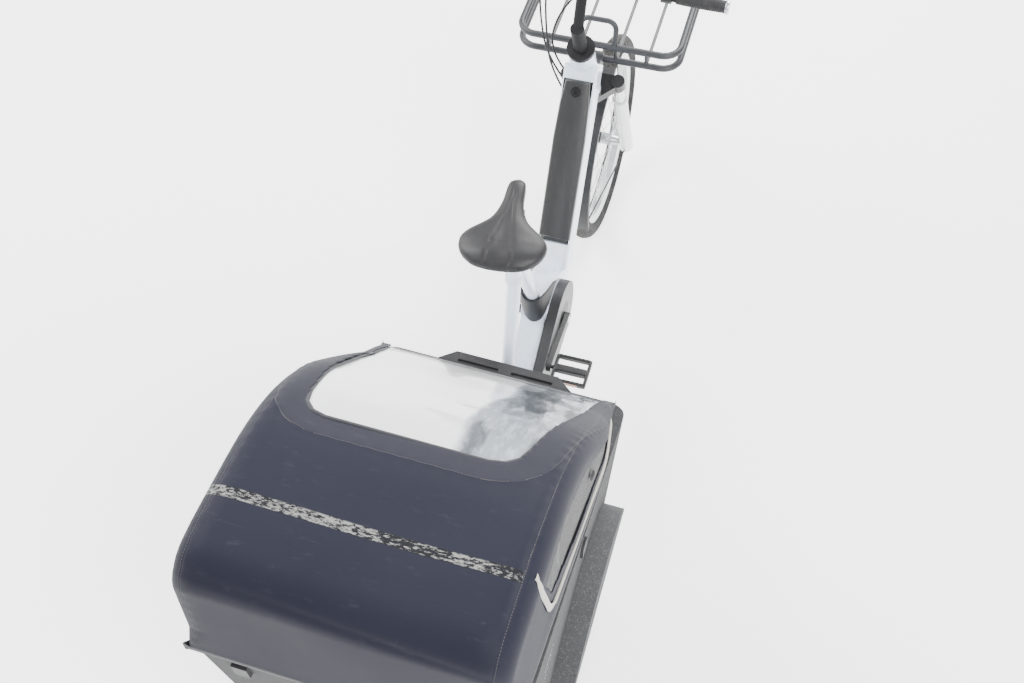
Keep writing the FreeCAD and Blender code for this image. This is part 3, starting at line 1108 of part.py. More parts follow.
def hood_body(inset):
    """Closed form under the hood's surface, moved in by inset; only the rim side stays open."""
    angle = math.radians(SCREEN_ANGLE)
    crest_y = roof_crest()

    def on_roof(turn, radius):
        """Point on the roof arc, or on the back arc for turns past upright."""
        reach = radius - inset
        return (crest_y + reach * math.sin(turn), ROOF_Z - radius + reach * math.cos(turn))

    down_y = RIM_REAR_Y - crest_y
    down_z = RIM_REAR_Z - (ROOF_Z - BACK_ARC_R)
    back = math.asin(BACK_ARC_R / math.hypot(down_y, down_z)) + math.atan2(-down_z, -down_y)
    drop = TUB_WALL if inset else 0.0
    start = (RIM_FRONT_Y - inset * math.sin(angle) + drop * math.cos(angle),
             RIM_FRONT_Z - inset * math.cos(angle) - drop * math.sin(angle))
    finish = (RIM_REAR_Y + inset * math.sin(back) - drop * math.cos(back),
              RIM_REAR_Z - inset * math.cos(back) - drop * math.sin(back))
    points = [start, on_roof(angle, ROOF_ARC_R), on_roof(angle / 2, ROOF_ARC_R), on_roof(0, ROOF_ARC_R),
              on_roof(-back / 2, BACK_ARC_R), on_roof(-back, BACK_ARC_R), finish]
    a, b, c, d, e, f, g = [V(-TUB_HALF, y, z) for y, z in points]
    edges = [Part.LineSegment(a, b), Part.Arc(b, c, d), Part.Arc(d, e, f), Part.LineSegment(f, g),
             Part.LineSegment(g, a)]
    body = Part.Face(Part.Wire([edge.toShape() for edge in edges])).extrude(V(2 * TUB_HALF, 0, 0))

    low_half = TUB_HALF - inset
    top_half = HOOD_TOP_HALF - inset
    slope = (low_half - top_half) / (ROOF_Z - RIM_FRONT_Z)
    below = 2 * TUB_WALL
    foot = low_half + below * slope
    back_y = RIM_REAR_Y - TUB_WALL
    low_z = RIM_FRONT_Z - below
    section = [V(foot, back_y, low_z), V(top_half, back_y, ROOF_Z), V(-top_half, back_y, ROOF_Z),
               V(-foot, back_y, low_z)]
    body = body.common(face_of(section).extrude(V(0, RIM_FRONT_Y + TUB_WALL - back_y, 0)))

    def on_shoulder(edge):
        middle = edge.valueAt((edge.FirstParameter + edge.LastParameter) / 2)
        across = abs(edge.tangentAt(edge.FirstParameter).x) > 0.9
        return not across and middle.z > rim_z(middle.y) + TUB_WALL and abs(middle.x) > HOOD_TOP_HALF / 2

    return body.makeFillet(HOOD_ROUND - inset, [edge for edge in body.Edges if on_shoulder(edge)])


def hood():
    """Fabric hood with its windscreen film, mesh side windows and two bows inside."""
    shell = hood_body(0.0).cut(hood_body(HOOD_T))
    corner_y = WINDOW_TOP_Y + WINDOW_CORNER
    arc_mid = WINDOW_CORNER * (1 - math.sqrt(0.5))
    side = WINDOW_TOP_HALF + WINDOW_CORNER
    right = [V(WINDOW_LOW_HALF, RIM_FRONT_Y + TUB_WALL, 0), V(WINDOW_MID_HALF, WINDOW_MID_Y, 0),
             V(side, corner_y, 0)]
    corner = Part.Arc(V(side, corner_y, 0), V(side - arc_mid, WINDOW_TOP_Y + arc_mid, 0),
                      V(WINDOW_TOP_HALF, WINDOW_TOP_Y, 0))
    half = [Part.LineSegment(a, b).toShape() for a, b in zip(right, right[1:])] + [corner.toShape()]
    other = [edge.mirror(V(0, 0, 0), X_AXIS) for edge in half]
    level = ((WINDOW_TOP_HALF, WINDOW_TOP_Y), (right[0].x, right[0].y))
    closing = [Part.LineSegment(V(-x, y, 0), V(x, y, 0)).toShape() for x, y in level]
    outline = Part.Wire(Part.__sortEdges__(half + other + closing))
    screen_tool = Part.Face(outline).extrude(V(0, 0, 2 * ROOF_Z))
    screen_tool.translate(V(0, 0, RIM_FRONT_Z - 2 * TUB_WALL))

    side_low = min(HOOD_TOP_HALF, TUB_HALF) - HOOD_ROUND / 2
    side_high = max(HOOD_TOP_HALF, TUB_HALF) + SIDE_GAP
    mesh = side_prism(SIDE_WINDOW, side_low, side_high)
    meshes = both_sides(mesh)
    fabric = shell.cut([screen_tool] + meshes)
    film = shell.common(screen_tool)
    windows = [shell.cut(screen_tool).common(tool) for tool in meshes]

    bows = []
    for ahead in BOWS_AHEAD:
        y = roof_crest() + ahead
        top = roof_z(y) - HOOD_T - BOW_DROP
        foot_z = rim_z(y) - TUB_WALL / 2
        right_side = [V(bow_x(foot_z), y, foot_z), V(bow_x(top), y, top)]
        path = right_side + [V(-point.x, y, point.z) for point in reversed(right_side)]
        bows.append(bent_tube(path, HOOD_ROUND + 2 * BOW_R, BOW_R).cut(tub_block()))
    return {"hood_fabric": fabric, "hood_windscreen": film, "side_windows": group(windows),
            "hood_bows": group(bows)}


def cushion(width, length, height, draw):
    """Pad with a crown and sides drawn in between its corners, lying on Z = 0 at the origin."""
    sections = []
    for z, shrink in ((0.0, 8.0), (height * 0.45, 0.0), (height * 0.8, 6.0), (height, 40.0)):
        half_w = width / 2 - shrink
        half_l = length / 2 - shrink
        corners = [V(half_w, half_l, z), V(-half_w, half_l, z), V(-half_w, -half_l, z), V(half_w, -half_l, z)]
        pulls = [V(0, half_l - draw, z), V(draw - half_w, 0, z), V(0, draw - half_l, z),
                 V(half_w - draw, 0, z)]
        ends = corners[1:] + corners[:1]
        sections.append(Part.Wire([Part.Arc(a, m, b).toShape() for a, m, b in zip(corners, pulls, ends)]))
    return Part.makeLoft(sections, True, False)


def cushions():
    """Bench and backrest cushions inside the tub."""
    wall = TUB_WALL * WALL_SLANT
    back_y = tub_rear(BENCH_Z) + wall
    bench_rear = back_y + BACK_CUSHION_T + 6 * SOFT_GAP
    length = BENCH_FRONT_Y - bench_rear - 4 * SOFT_GAP
    width = 2 * (TUB_INNER_LOW - 4 * SOFT_GAP)
    bench = cushion(width, length, CUSHION_H, CUSHION_DRAW)
    bench.translate(V(0, BENCH_FRONT_Y - 2 * SOFT_GAP - length / 2, BENCH_Z + SOFT_GAP))
    low_z = BENCH_Z + 2 * SOFT_GAP
    height = BACK_CUSHION_TOP_Z - low_z
    rest = cushion(width, height, BACK_CUSHION_T, CUSHION_DRAW)
    rest.rotate(V(0, 0, 0), X_AXIS, -90)
    rest.rotate(V(0, 0, 0), X_AXIS, math.degrees(math.atan(tub_rear(0) - tub_rear(1))))
    middle_z = low_z + height / 2
    rest.translate(V(0, tub_rear(middle_z) + wall + SOFT_GAP, middle_z))
    return {"bench_cushion": bench, "backrest_cushion": rest}


def undercarriage():
    """Rear frame, tilt bearing housing and the axle beam with its stub axles."""
    housing_ends = [TILT_POINT + TILT_AXIS * (sign * HOUSING_LENGTH / 2) for sign in (-1, 1)]
    housing_solid = rod(*housing_ends, HOUSING_R)
    housing = housing_solid.cut(rod(*housing_ends, SHAFT_R + RUN_GAP))
    well_x = TUB_INNER_LOW + TUB_WALL
    beam_solid = cross_rod(-well_x, well_x, REAR_AXLE, AXLE_BEAM_R)
    shoulder = REAR_WHEEL_X - REAR_HUB_HALF - SIDE_GAP
    stub_end = COVER_HALF - COVER_T - 4 * SIDE_GAP
    axle = join([beam_solid, cross_rod(-shoulder, shoulder, REAR_AXLE, 1.5 * STUB_R),
                 cross_rod(-stub_end, stub_end, REAR_AXLE, STUB_R)])

    rail_z = (TUB_BASE_Z - RAIL_H, TUB_BASE_Z)
    front_y = TUB_BASE_FRONT_Y
    rear_y = TUB_BASE_REAR_Y + RAIL_W
    half = RAIL_W / 2
    rails = [block((x - half, x + half), (rear_y, front_y), rail_z) for x in (-RAIL_SPACING, RAIL_SPACING)]
    span = (-RAIL_SPACING, RAIL_SPACING)
    housing_back = TILT_Y - HOUSING_LENGTH / 2
    ties = [block(span, (y, y + RAIL_W), rail_z) for y in (front_y - RAIL_W, housing_back, rear_y)]
    frame = join(rails + ties).cut([housing_solid, beam_solid])
    frame = max(frame.Solids, key=lambda solid: solid.Volume)
    return {"tilt_housing": housing, "rear_axle": axle, "rear_frame": frame}


def rear_wheels():
    """Tyre and spoked wheel on each stub axle."""
    nodes = {}
    centre = REAR_AXLE + V(REAR_WHEEL_X, 0, 0)
    flange = REAR_HUB_HALF - FLANGE_T
    lip = FLANGE_T / 2
    bore = STUB_R + RUN_GAP
    profile = [(-REAR_HUB_HALF, bore), (REAR_HUB_HALF, bore), (REAR_HUB_HALF, REAR_HUB_R),
               (flange + lip, REAR_HUB_R), (flange + lip, REAR_FLANGE_R), (flange - lip, REAR_FLANGE_R),
               (flange - lip, REAR_HUB_R),
               (lip - flange, REAR_HUB_R), (lip - flange, REAR_FLANGE_R), (-flange - lip, REAR_FLANGE_R),
               (-flange - lip, REAR_HUB_R), (-REAR_HUB_HALF, REAR_HUB_R)]
    hub = turned([(centre.x + x, radius) for x, radius in profile], centre)
    laces = spokes(centre, flange, REAR_FLANGE_R - FLANGE_T, REAR_BEAD_R - RIM_DEPTH / 2, REAR_SPOKES)
    wheel = join([hub, rim(centre, REAR_BEAD_R, REAR_TYRE_W)] + laces)
    rubber = tyre(centre, REAR_TYRE_R, REAR_TYRE_W, REAR_BEAD_R)
    for name, shape in (("rear_wheel", wheel), ("rear_tyre", rubber)):
        nodes[name + "_right"], nodes[name + "_left"] = both_sides(shape)
    return nodes


def small_fittings():
    """Tail lights, side reflectors, hood clips and the bolts that hold the tub down."""
    lamp_top = TAIL_LAMP_Z + TAIL_LAMP_H
    lamp_y = tub_rear(lamp_top)
    lamp = block((TAIL_LAMP_X, TAIL_LAMP_X + TAIL_LAMP_W), (lamp_y - TAIL_LAMP_T, lamp_y + TUB_WALL / 2),
                 (TAIL_LAMP_Z, lamp_top))
    lamps = both_sides(lamp.cut(tub_block()))
    reflector = block((TUB_HALF, TUB_HALF + REFLECTOR_T), (REFLECTOR_Y, REFLECTOR_Y + REFLECTOR_L),
                      (REFLECTOR_Z, REFLECTOR_Z + REFLECTOR_H))
    clip_top = RIM_REAR_Z - CLIP_H / 4
    rear_clip = block((CLIP_X, CLIP_X + CLIP_W), (RIM_REAR_Y - CLIP_T, RIM_REAR_Y + TUB_WALL / 2),
                      (clip_top - CLIP_H, clip_top))
    side_z = rim_z(CLIP_SIDE_Y) - CLIP_H / 2
    side_clip = block((TUB_HALF, TUB_HALF + CLIP_T), (CLIP_SIDE_Y, CLIP_SIDE_Y + CLIP_W),
                      (side_z - CLIP_H, side_z))
    clips = both_sides(rear_clip.cut(tub_block())) + both_sides(side_clip)
    return {"tail_lights": group(lamps), "side_reflectors": group(both_sides(reflector)),
            "hood_clips": group(clips), "tub_bolts": group(bolt_heads())}


def main():
    """Build every piece, lean the front frame, and write one file per node."""
    front = {}
    for make in (front_wheel, fork_lowers, steering, head_and_frame, battery, saddle, crank, chain_drive,
                 front_rack):
        front.update(make())
    front.update(cables([front[name] for name in ("down_tube", "display", "lever_clamps")]))
    rear = {}
    for make in (tub, hood, cushions, undercarriage, rear_wheels, small_fittings):
        rear.update(make())
    for shape in front.values():
        shape.rotate(TILT_POINT, TILT_AXIS, -PARKED_LEAN)
    os.makedirs("parts", exist_ok=True)
    for name, shape in {**front, **rear}.items():
        shape.translate(V(CENTRE_X, 0, 0))
        shape.exportStep(os.path.join("parts", name + ".step"))


main()
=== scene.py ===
"""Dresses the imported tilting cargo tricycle: every finish, and its soft and moulded pieces as surfaces.

Lengths are written in millimetres, as in the model's source. upright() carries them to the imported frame
for the rear carriage, and leaned() does so for what tilts with the front frame.
"""
from math import asin, atan2, cos, hypot, pi, radians, sin, tan

import bpy
import numpy as np
from mathutils import Matrix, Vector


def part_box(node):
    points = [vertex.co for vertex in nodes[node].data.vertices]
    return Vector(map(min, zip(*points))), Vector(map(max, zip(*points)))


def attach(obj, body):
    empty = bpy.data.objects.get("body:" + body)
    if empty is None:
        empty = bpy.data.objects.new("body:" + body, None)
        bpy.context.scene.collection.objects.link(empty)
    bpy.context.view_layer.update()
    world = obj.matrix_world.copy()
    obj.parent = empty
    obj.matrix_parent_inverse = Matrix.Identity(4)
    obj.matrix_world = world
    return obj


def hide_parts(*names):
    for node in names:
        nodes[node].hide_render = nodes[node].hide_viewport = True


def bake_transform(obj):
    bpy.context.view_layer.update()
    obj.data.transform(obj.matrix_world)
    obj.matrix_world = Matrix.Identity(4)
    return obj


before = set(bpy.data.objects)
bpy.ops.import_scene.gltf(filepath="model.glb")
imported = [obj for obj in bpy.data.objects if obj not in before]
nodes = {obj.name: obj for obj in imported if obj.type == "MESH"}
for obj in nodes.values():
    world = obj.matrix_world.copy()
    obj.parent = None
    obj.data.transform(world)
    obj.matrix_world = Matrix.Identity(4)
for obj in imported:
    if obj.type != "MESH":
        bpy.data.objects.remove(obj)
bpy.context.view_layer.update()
scene = bpy.context.scene

SIDES = ((1, "right"), (-1, "left"))
CENTRE_X = 17.77
LEAN = radians(-2.7)
TILT_Z = 240.0

TUB_HALF = 300.0
RIM_FRONT = np.array([-202.0, 560.0])
RIM_REAR = np.array([-1106.0, 945.0])
ROOF_Z = 1256.0
SCREEN = radians(54.0)
ROOF_R = 600.0
BACK_R = 70.0
TOP_HALF = 284.0
SHOULDER_R = 60.0
WINDOW = ((280, -180), (234, -455), (203, -655), (194, -687), (175, -707), (147, -715))
WINDOW_SHIFT = -5.0
SIDE_WINDOW = ((-345, 690), (-840, 985), (-885, 1130), (-760, 1125), (-600, 1010), (-440, 830))
STRIPE_Y = -923.0
FAN_Y = -800.0
BOWS_Y = (-775.0, -985.0)
PIPING = ((-906, 1221), (-914, 1190), (-888, 1075), (-866, 985), (-842, 938), (-800, 908),
          (-630, 823), (-460, 732), (-289, 641), (-264, 628))
TOGGLE = (-560.0, 905.0)
HOOD_ROWS = 300
SIDE_COLS = 46
ARC_COLS = 16
TOP_COLS = 56
FAR_OFF = 400.0

HEAD = radians(70.0)
STEER_UP = np.array([0, -cos(HEAD), sin(HEAD)])
STEER_FRONT = np.array([0, sin(HEAD), cos(HEAD)])
FRONT_AXLE = np.array([0, 808.0, 304.0])
STEER_FOOT = FRONT_AXLE - 40.0 * STEER_FRONT
BAR = STEER_FOOT + 800.0 * STEER_UP + 75.0 * STEER_FRONT
BAR_BEND = np.array([135.0, 0, 22.0])
BAR_END = np.array([340.0, -6.0, 22.0])
GRIP_BORE = 11.4
GRIP_LENGTH = 115.0
GRIP_INSET = 3.0
FRONT_TYRE = {"outer": 304.0, "width": 58.0, "bead": 254.0}
REAR_TYRE = {"outer": 253.0, "width": 50.0, "bead": 207.0}
REAR_HUB = np.array([309.0, -610.0, 253.0])
RACK = np.array([0, 862.0, 724.0])
CRANK_AXIS = np.array([0, 140.0, 326.0])
CRANK_TURN = radians(172.0)
PEDAL_REACH = np.array([131.0, 170 * cos(CRANK_TURN), 170 * sin(CRANK_TURN)])
DOWN = radians(54.5)
DOWN_OUT = np.array([0, -sin(DOWN), cos(DOWN)])
BATTERY_TOP = np.array([0, 525.0, 814.0])
SEAT_TOP = np.array([0, -55.0, 905.0])
SEAT_UP = np.array([0, -170.0, 509.0]) / hypot(170, 509)
SADDLE_NOSE_Y = 74.0
SADDLE_LENGTH = 246.0
SADDLE_HALF = 98.0
SADDLE_Z = 959.7
SADDLE_TURN = radians(5.0)
CABLE_ROUTES = (
    ((-192, 22, 22), (-152, 75, 5), (-135, 92, -80), (-126, 60, -172), (-95, 10, -244), (-42, -24, -279)),
    ((192, 22, 22), (120, 80, 10), (0, 120, -70), (-85, 95, -160), (-98, 26, -232), (-42, -10, -262)),
    ((-29, 10, 24), (-90, 45, 0), (-112, 62, -90), (-104, 35, -185), (-84, -8, -256), (-42, -38, -297)),
)
CABLE_LENGTHS = (0.410, 0.528, 0.410)
CABLE_R = 2.6
CAMERA = (0.45876, -1.5594, 2.9912)
CAMERA_TURN = (17.2, 58.0, -0.3)
FOCAL_PX = 1190.4
PHOTO_PX = 1024
SENSOR = 36.0


def upright(points):
    """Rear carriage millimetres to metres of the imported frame: a shift across."""
    return (points + (CENTRE_X, 0, 0)) / 1000


def leaned(points):
    """Front frame millimetres to metres: the lean x' = c x + s z, z' = c z - s x, then the shift."""
    p = points - (0, 0, TILT_Z)
    c = cos(LEAN)
    s = sin(LEAN)
    turned = vec(c * p[..., 0] + s * p[..., 2], p[..., 1], c * p[..., 2] - s * p[..., 0])
    return upright(turned + (0, 0, TILT_Z))


def vec(*parts):
    """Coordinates put together along a new last axis."""
    return np.stack(np.broadcast_arrays(*parts), -1)


def unit(v):
    """Vectors divided by their lengths."""
    return v / np.maximum(np.linalg.norm(v, axis=-1, keepdims=True), 1e-12)


def ease(x, low, high):
    """Smooth step: 0 below low, 1 above high, t t (3 - 2 t) between."""
    t = np.clip((x - low) / (high - low), 0, 1)
    return t * t * (3 - 2 * t)


def bell(x, width):
    """Gaussian bump of height 1."""
    return np.exp(-(x / width) ** 2)


def through(points, count):
    """Catmull-Rom curve through points, sampled evenly in its parameter."""
    p = np.asarray(points, float)
    p = np.concatenate([2 * p[:1] - p[1:2], p, 2 * p[-1:] - p[-2:-1]])
    at = np.linspace(0, len(p) - 3, count)
    i = np.minimum(at.astype(int), len(p) - 4)
    t = (at - i)[:, None]
    a, b, c, d = p[i], p[i + 1], p[i + 2], p[i + 3]
    square = 2 * a - 5 * b + 4 * c - d
    cube = 3 * b - a - 3 * c + d
    return 0.5 * (2 * b + (c - a) * t + square * t ** 2 + cube * t ** 3)


def circle(count):
    """Evenly spaced angles of one full turn."""
    return np.linspace(0, 2 * pi, count, endpoint=False)


def linked(name, data):
    """New object in the scene."""
    piece = bpy.data.objects.new(name, data)
    scene.collection.objects.link(piece)
    return piece


def skin(name, points, closed=0, keep=None, flat=None, marks=None, flip=False):
    """Mesh of quads over a grid of points in metres; keep masks faces, flat is a UV, marks are attributes.

    With closed 1 the last column joins the first, and with 2 the last row joins the first as well.
    """
    rows, cols = points.shape[:2]
    index = np.arange(rows * cols).reshape(rows, cols)
    ahead = np.roll(index, -1, 0)
    quads = vec(index, ahead, np.roll(ahead, -1, 1), np.roll(index, -1, 1))
    quads = quads[:rows - (closed < 2), :cols - (closed < 1)]
    faces = quads[keep] if keep is not None else quads.reshape(-1, 4)
    faces = faces[:, ::-1] if flip else faces
    used, faces = np.unique(faces, return_inverse=True)
    faces = faces.reshape(-1, 4)
    mesh = bpy.data.meshes.new(name)
    mesh.from_pydata(points.reshape(-1, 3)[used].tolist(), [], faces.tolist())
    mesh.polygons.foreach_set("use_smooth", np.ones(len(faces), bool))
    if flat is not None:
        layer = mesh.uv_layers.new(name="UVMap")
        layer.data.foreach_set("uv", flat.reshape(-1, 2)[used][faces.ravel()].astype(np.float32).ravel())
    for key, values in (marks or {}).items():
        attribute = mesh.attributes.new(key, "FLOAT", "POINT")
        attribute.data.foreach_set("value", values.reshape(-1)[used].astype(np.float32))
    return linked(name, mesh)


def carried(path, profile, up):
    """Profile offsets (side, lift) carried along a path: P + side a + lift b, with lift leaning to up."""
    tangent = unit(np.gradient(path, axis=0))
    side = unit(np.cross(tangent, up))
    lift = np.cross(side, tangent)
    profile = np.asarray(profile, float)
    return path[:, None] + side[:, None] * profile[None, :, :1] + lift[:, None] * profile[None, :, 1:]


def coordinates(mesh):
    """Vertex positions of a mesh."""
    flat = np.zeros(3 * len(mesh.vertices))
    mesh.vertices.foreach_get("co", flat)
    return flat.reshape(-1, 3)


def evaluated(piece):
    """A piece as its modifiers or its curve leave it."""
    return piece.evaluated_get(bpy.context.evaluated_depsgraph_get())


def finished(piece, body, slot, finish, *stands_for):
    """Give a piece its material and body, and hide the CAD nodes that it stands for; the slot is not used."""
    piece.data.materials.append(finish)
    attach(piece, body)
    if stands_for:
        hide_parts(*stands_for)


def shade(colour, factor):
    """A colour times a factor."""
    return tuple(c * factor for c in colour)


class Value:
    """A shader socket in an expression; each operator adds one Math node."""

    def __init__(self, finish, socket):
        self.finish = finish
        self.socket = socket

    def math(self, operation, *others):
        return self.finish.node("Math", {"operation": operation}, (self, *others))

    def __add__(self, other):
        return self.math("ADD", other)

    def __sub__(self, other):
        return self.math("SUBTRACT", other)

    def __rsub__(self, other):
        return self.finish.node("Math", {"operation": "SUBTRACT"}, (other, self))

    def __mul__(self, other):
        return self.math("MULTIPLY", other)

    def __truediv__(self, other):
        return self.math("DIVIDE", other)

    def __abs__(self):
        return self.math("ABSOLUTE")

    __radd__ = __add__


class Finish:
    """One procedural material: uniform values sit on the shader's sockets, p is Object metres."""

    def __init__(self, name, **uniform):
        self.material = bpy.data.materials.new(name)
        self.material.use_nodes = True
        self.tree = self.material.node_tree
        self.shader = next(n for n in self.tree.nodes if n.type == "BSDF_PRINCIPLED")
        for key, value in uniform.items():
            self.shader.inputs[key.replace("_", " ")].default_value = value
        self.p = self.place()

    def node(self, kind, settings=None, inputs=(), out=0):
        """Add a node: its settings first, then its sockets by position or name from numbers or Values."""
        made = self.tree.nodes.new("ShaderNode" + kind)
        for key, value in (settings or {}).items():
            setattr(made, key, value)
        for key, value in inputs.items() if isinstance(inputs, dict) else enumerate(inputs):
            if isinstance(value, Value):
                self.tree.links.new(value.socket, made.inputs[key])
            else:
                made.inputs[key].default_value = value
        return Value(self, made.outputs[out])

    def place(self, kind="Object"):
        """Texture coordinates: Object metres, or the piece's UV."""
        return self.node("TexCoord", out=kind)

    def mark(self, name):
        """A float attribute of the mesh."""
        return self.node("Attribute", {"attribute_name": name}, out="Fac")

    def axis(self, point, name):
        """One coordinate of a vector."""
        return self.node("SeparateXYZ", None, (point,), name)

    def along(self, direction, start):
        """Way from a start along a direction."""
        way = self.node("VectorMath", {"operation": "DOT_PRODUCT"}, (self.p, tuple(direction)), "Value")
        return way - float(start @ direction)

    def far(self, centre):
        """Distance from a fixed point."""
        return self.node("VectorMath", {"operation": "DISTANCE"}, (self.p, tuple(centre)), "Value")

    def noise(self, scale, detail=3.0, rough=0.5, point=None):
        inputs = {"Vector": point or self.p, "Scale": scale, "Detail": detail, "Roughness": rough}
        return self.node("TexNoise", None, inputs)

    def streaks(self, scale, detail, rough, turn=0.0):
        """Noise scaled along each axis and turned about Z."""
        drawn = {"Vector": self.p, "Rotation": (0, 0, turn), "Scale": scale}
        return self.noise(1.0, detail, rough, self.node("Mapping", None, drawn))

    def cells(self, scale, feature="F1", out="Distance"):
        return self.node("TexVoronoi", {"feature": feature}, {"Vector": self.p, "Scale": scale}, out)

    def wave(self, value, period):
        """Sine of a length, once each period."""
        return (value * (2 * pi / period)).math("SINE")

    def step(self, value, low, high):
        """Smooth step of a value, falling if low is above high."""
        ends = (low, high, 0.0, 1.0) if low < high else (high, low, 1.0, 0.0)
        return self.node("MapRange", {"interpolation_type": "SMOOTHSTEP"}, (value, *ends))

    def mix(self, factor, a, b):
        """Colour between a and b."""
        a = (*a, 1.0) if isinstance(a, tuple) else a
        b = (*b, 1.0) if isinstance(b, tuple) else b
        return self.node("Mix", {"data_type": "RGBA"}, {0: factor, 6: a, 7: b}, 2)

    def feed(self, **sockets):
        """Link what varies to the shader's sockets."""
        for key, value in sockets.items():
            self.tree.links.new(value.socket, self.shader.inputs[key.replace("_", " ")])

    def relief(self, height, depth):
        """Bump of a height from 0 to 1, depth metres deep."""
        bump = {"Height": height, "Strength": 1.0, "Distance": depth}
        self.feed(Normal=self.node("Bump", None, bump))


def gloss_paint(name, colour, second, grime):
    """Glossy paint: faint colour drift, fine peel and grey road film that grows towards the ground."""
    f = Finish(name, Coat_Weight=0.7, Coat_Roughness=0.06, Specular_IOR_Level=0.5)
    drift = f.noise(9.0)
    film = f.noise(60.0, 5.0, 0.65)
    low = f.step(f.axis(f.p, "Z"), 0.75, 0.2)
    body = f.mix(f.step(drift, 0.35, 0.7), colour, second)
    f.feed(Base_Color=f.mix(f.step(film, 0.45, 0.8) * low * grime, body, (0.24, 0.23, 0.21)),
           Roughness=0.16 + film * 0.16 + low * 0.06)
    f.relief(f.noise(420.0, 1.0), 0.00004)
    return f.material


def coated_metal(name, colour, worn, rough=0.5, shine=0.25):
    """Satin coating: fine orange peel, cloudy sheen and rubbed lighter spots."""
    f = Finish(name, Specular_IOR_Level=shine)
    cloud = f.noise(24.0, 4.0)
    rub = f.step(f.noise(110.0, 5.0, 0.7), 0.62, 0.78)
    f.feed(Base_Color=f.mix(rub * 0.35, f.mix(cloud, colour, shade(colour, 1.5)), worn),
           Roughness=rough - 0.1 + cloud * 0.22)
    f.relief(f.noise(700.0, 2.0), 0.00006)
    return f.material


def bare_metal(name, colour, grain, rough=0.28):
    """Bare metal: long fine scratches along one axis, drawn as noise stretched by grain."""
    f = Finish(name, Metallic=1.0)
    lines = f.streaks(grain, 4.0, 0.6)
    spots = f.noise(70.0, 4.0)
    f.feed(Base_Color=f.mix(spots, colour, shade(colour, 0.8)), Roughness=rough - 0.08 + lines * 0.2)
    f.relief(lines, 0.00002)
    return f.material


def moulded(name, colour, light, grain=900.0, depth=0.00012, rough=0.5):
    """Moulded plastic or rubber: spark-eroded grain from two cell sizes, with dull scuffs."""
    f = Finish(name, Specular_IOR_Level=0.42)
    pits = f.cells(grain) * 0.7 + f.cells(grain * 2.3) * 0.3
    scuff = f.streaks((40, 95, 60), 5.0, 0.7)
    f.feed(Base_Color=f.mix(f.step(scuff, 0.45, 0.8), colour, light),
           Roughness=rough - 0.08 + scuff * 0.2)
    f.relief(pits, depth)
    return f.material


def bead_foam(name, dark, light):
    """Expanded bead foam: pressed cells with thin sunk borders and scattered pale beads."""
    f = Finish(name, Roughness=0.78, Specular_IOR_Level=0.3)
    edge = f.cells(230.0, "DISTANCE_TO_EDGE")
    tint = f.axis(f.cells(230.0, "F1", "Color"), "X")
    pale = f.step(tint, 0.62, 0.98)
    border = f.step(edge, 0.0, 0.09)
    dust = f.noise(18.0, 4.0)
    bead = f.mix(pale * 0.4, f.mix(dust, dark, shade(dark, 1.35)), light)
    f.feed(Base_Color=f.mix(border, shade(dark, 0.7), bead))
    f.relief(border * 0.7 + f.noise(900.0, 2.0) * 0.3, 0.0004)
    return f.material


def hood_cloth():
    """Coated canvas: fine weave, chalky scuffs, a painted sheen as a lighter band round the window, seams
    with pale stitches, and a worn reflective stripe.

    border, shoulder, stripe and hem are distances in metres, and run is the way along the window's border.
    """
    f = Finish("hood canvas", Specular_IOR_Level=0.12)
    uv = f.place("UV")
    across = f.axis(uv, "X")
    down = f.axis(uv, "Y")
    border, shoulder, hem, stripe, run = map(f.mark, ("border", "shoulder", "hem", "stripe", "run"))
    cloud = f.noise(5.0, 4.0)
    chalk = f.step(f.streaks((22, 60, 40), 6.0, 0.72, 0.5), 0.56, 0.82)
    scratch = f.step(f.streaks((9, 240, 120), 3.0, 0.6, 0.35), 0.68, 0.74)
    body = f.mix(cloud, (0.0095, 0.0100, 0.0185), (0.0135, 0.0142, 0.0240))
    # Painted sheen: the band within 54 mm of the window's border is mixed halfway to a lighter blue grey.
    body = f.mix(f.step(border, 0.058, 0.054) * 0.5, body, (0.027, 0.0275, 0.036))
    rubbed = f.step(abs(shoulder), 0.012, 0.0) * f.step(cloud, 0.35, 0.6)
    body = f.mix(chalk * 0.14 + scratch * 0.06 + rubbed * 0.10, body, (0.10, 0.102, 0.115))

    def stitches(distance, length, offset):
        """Dashes on the line at an offset: thread where the sine along the line is high."""
        line = f.step(abs(distance - offset), 0.0011, 0.0004)
        return line * f.step(f.wave(length, 0.0052), -0.5, 0.0)

    seams = stitches(border, run, 0.055).math("MAXIMUM", stitches(shoulder, down, 0.004))
    rim = stitches(hem, across + down, 0.040)
    body = f.mix(seams * 0.6, body, (0.080, 0.077, 0.074))
    body = f.mix(rim * 0.8, body, (0.26, 0.255, 0.24))
    tape = f.step(abs(stripe), 0.0115, 0.0107)
    patch = f.noise(7.0, 2.0)
    flake = f.streaks((75, 210, 120), 6.0, 0.78) + (patch - 0.5) * 0.3
    wear = f.step(flake, 0.47, 0.53) * f.step(abs(stripe), 0.0113, 0.0085)
    body = f.mix(tape * 0.8, body, (0.009, 0.009, 0.010))
    body = f.mix(tape * wear * 0.9, body, (0.22, 0.22, 0.215))
    f.feed(Base_Color=body, Roughness=0.56 + cloud * 0.14 - tape * wear * 0.1)
    weave = f.wave(across, 0.0016) * f.wave(down, 0.0016)
    fold = f.step(abs(shoulder), 0.0, 0.0035) * f.step(abs(border - 0.0575), 0.0, 0.003)
    f.relief(weave * 0.05 + fold * 0.5 + seams * 0.15 + tape * 0.2 + f.noise(300.0, 3.0) * 0.1, 0.0010)
    return f.material


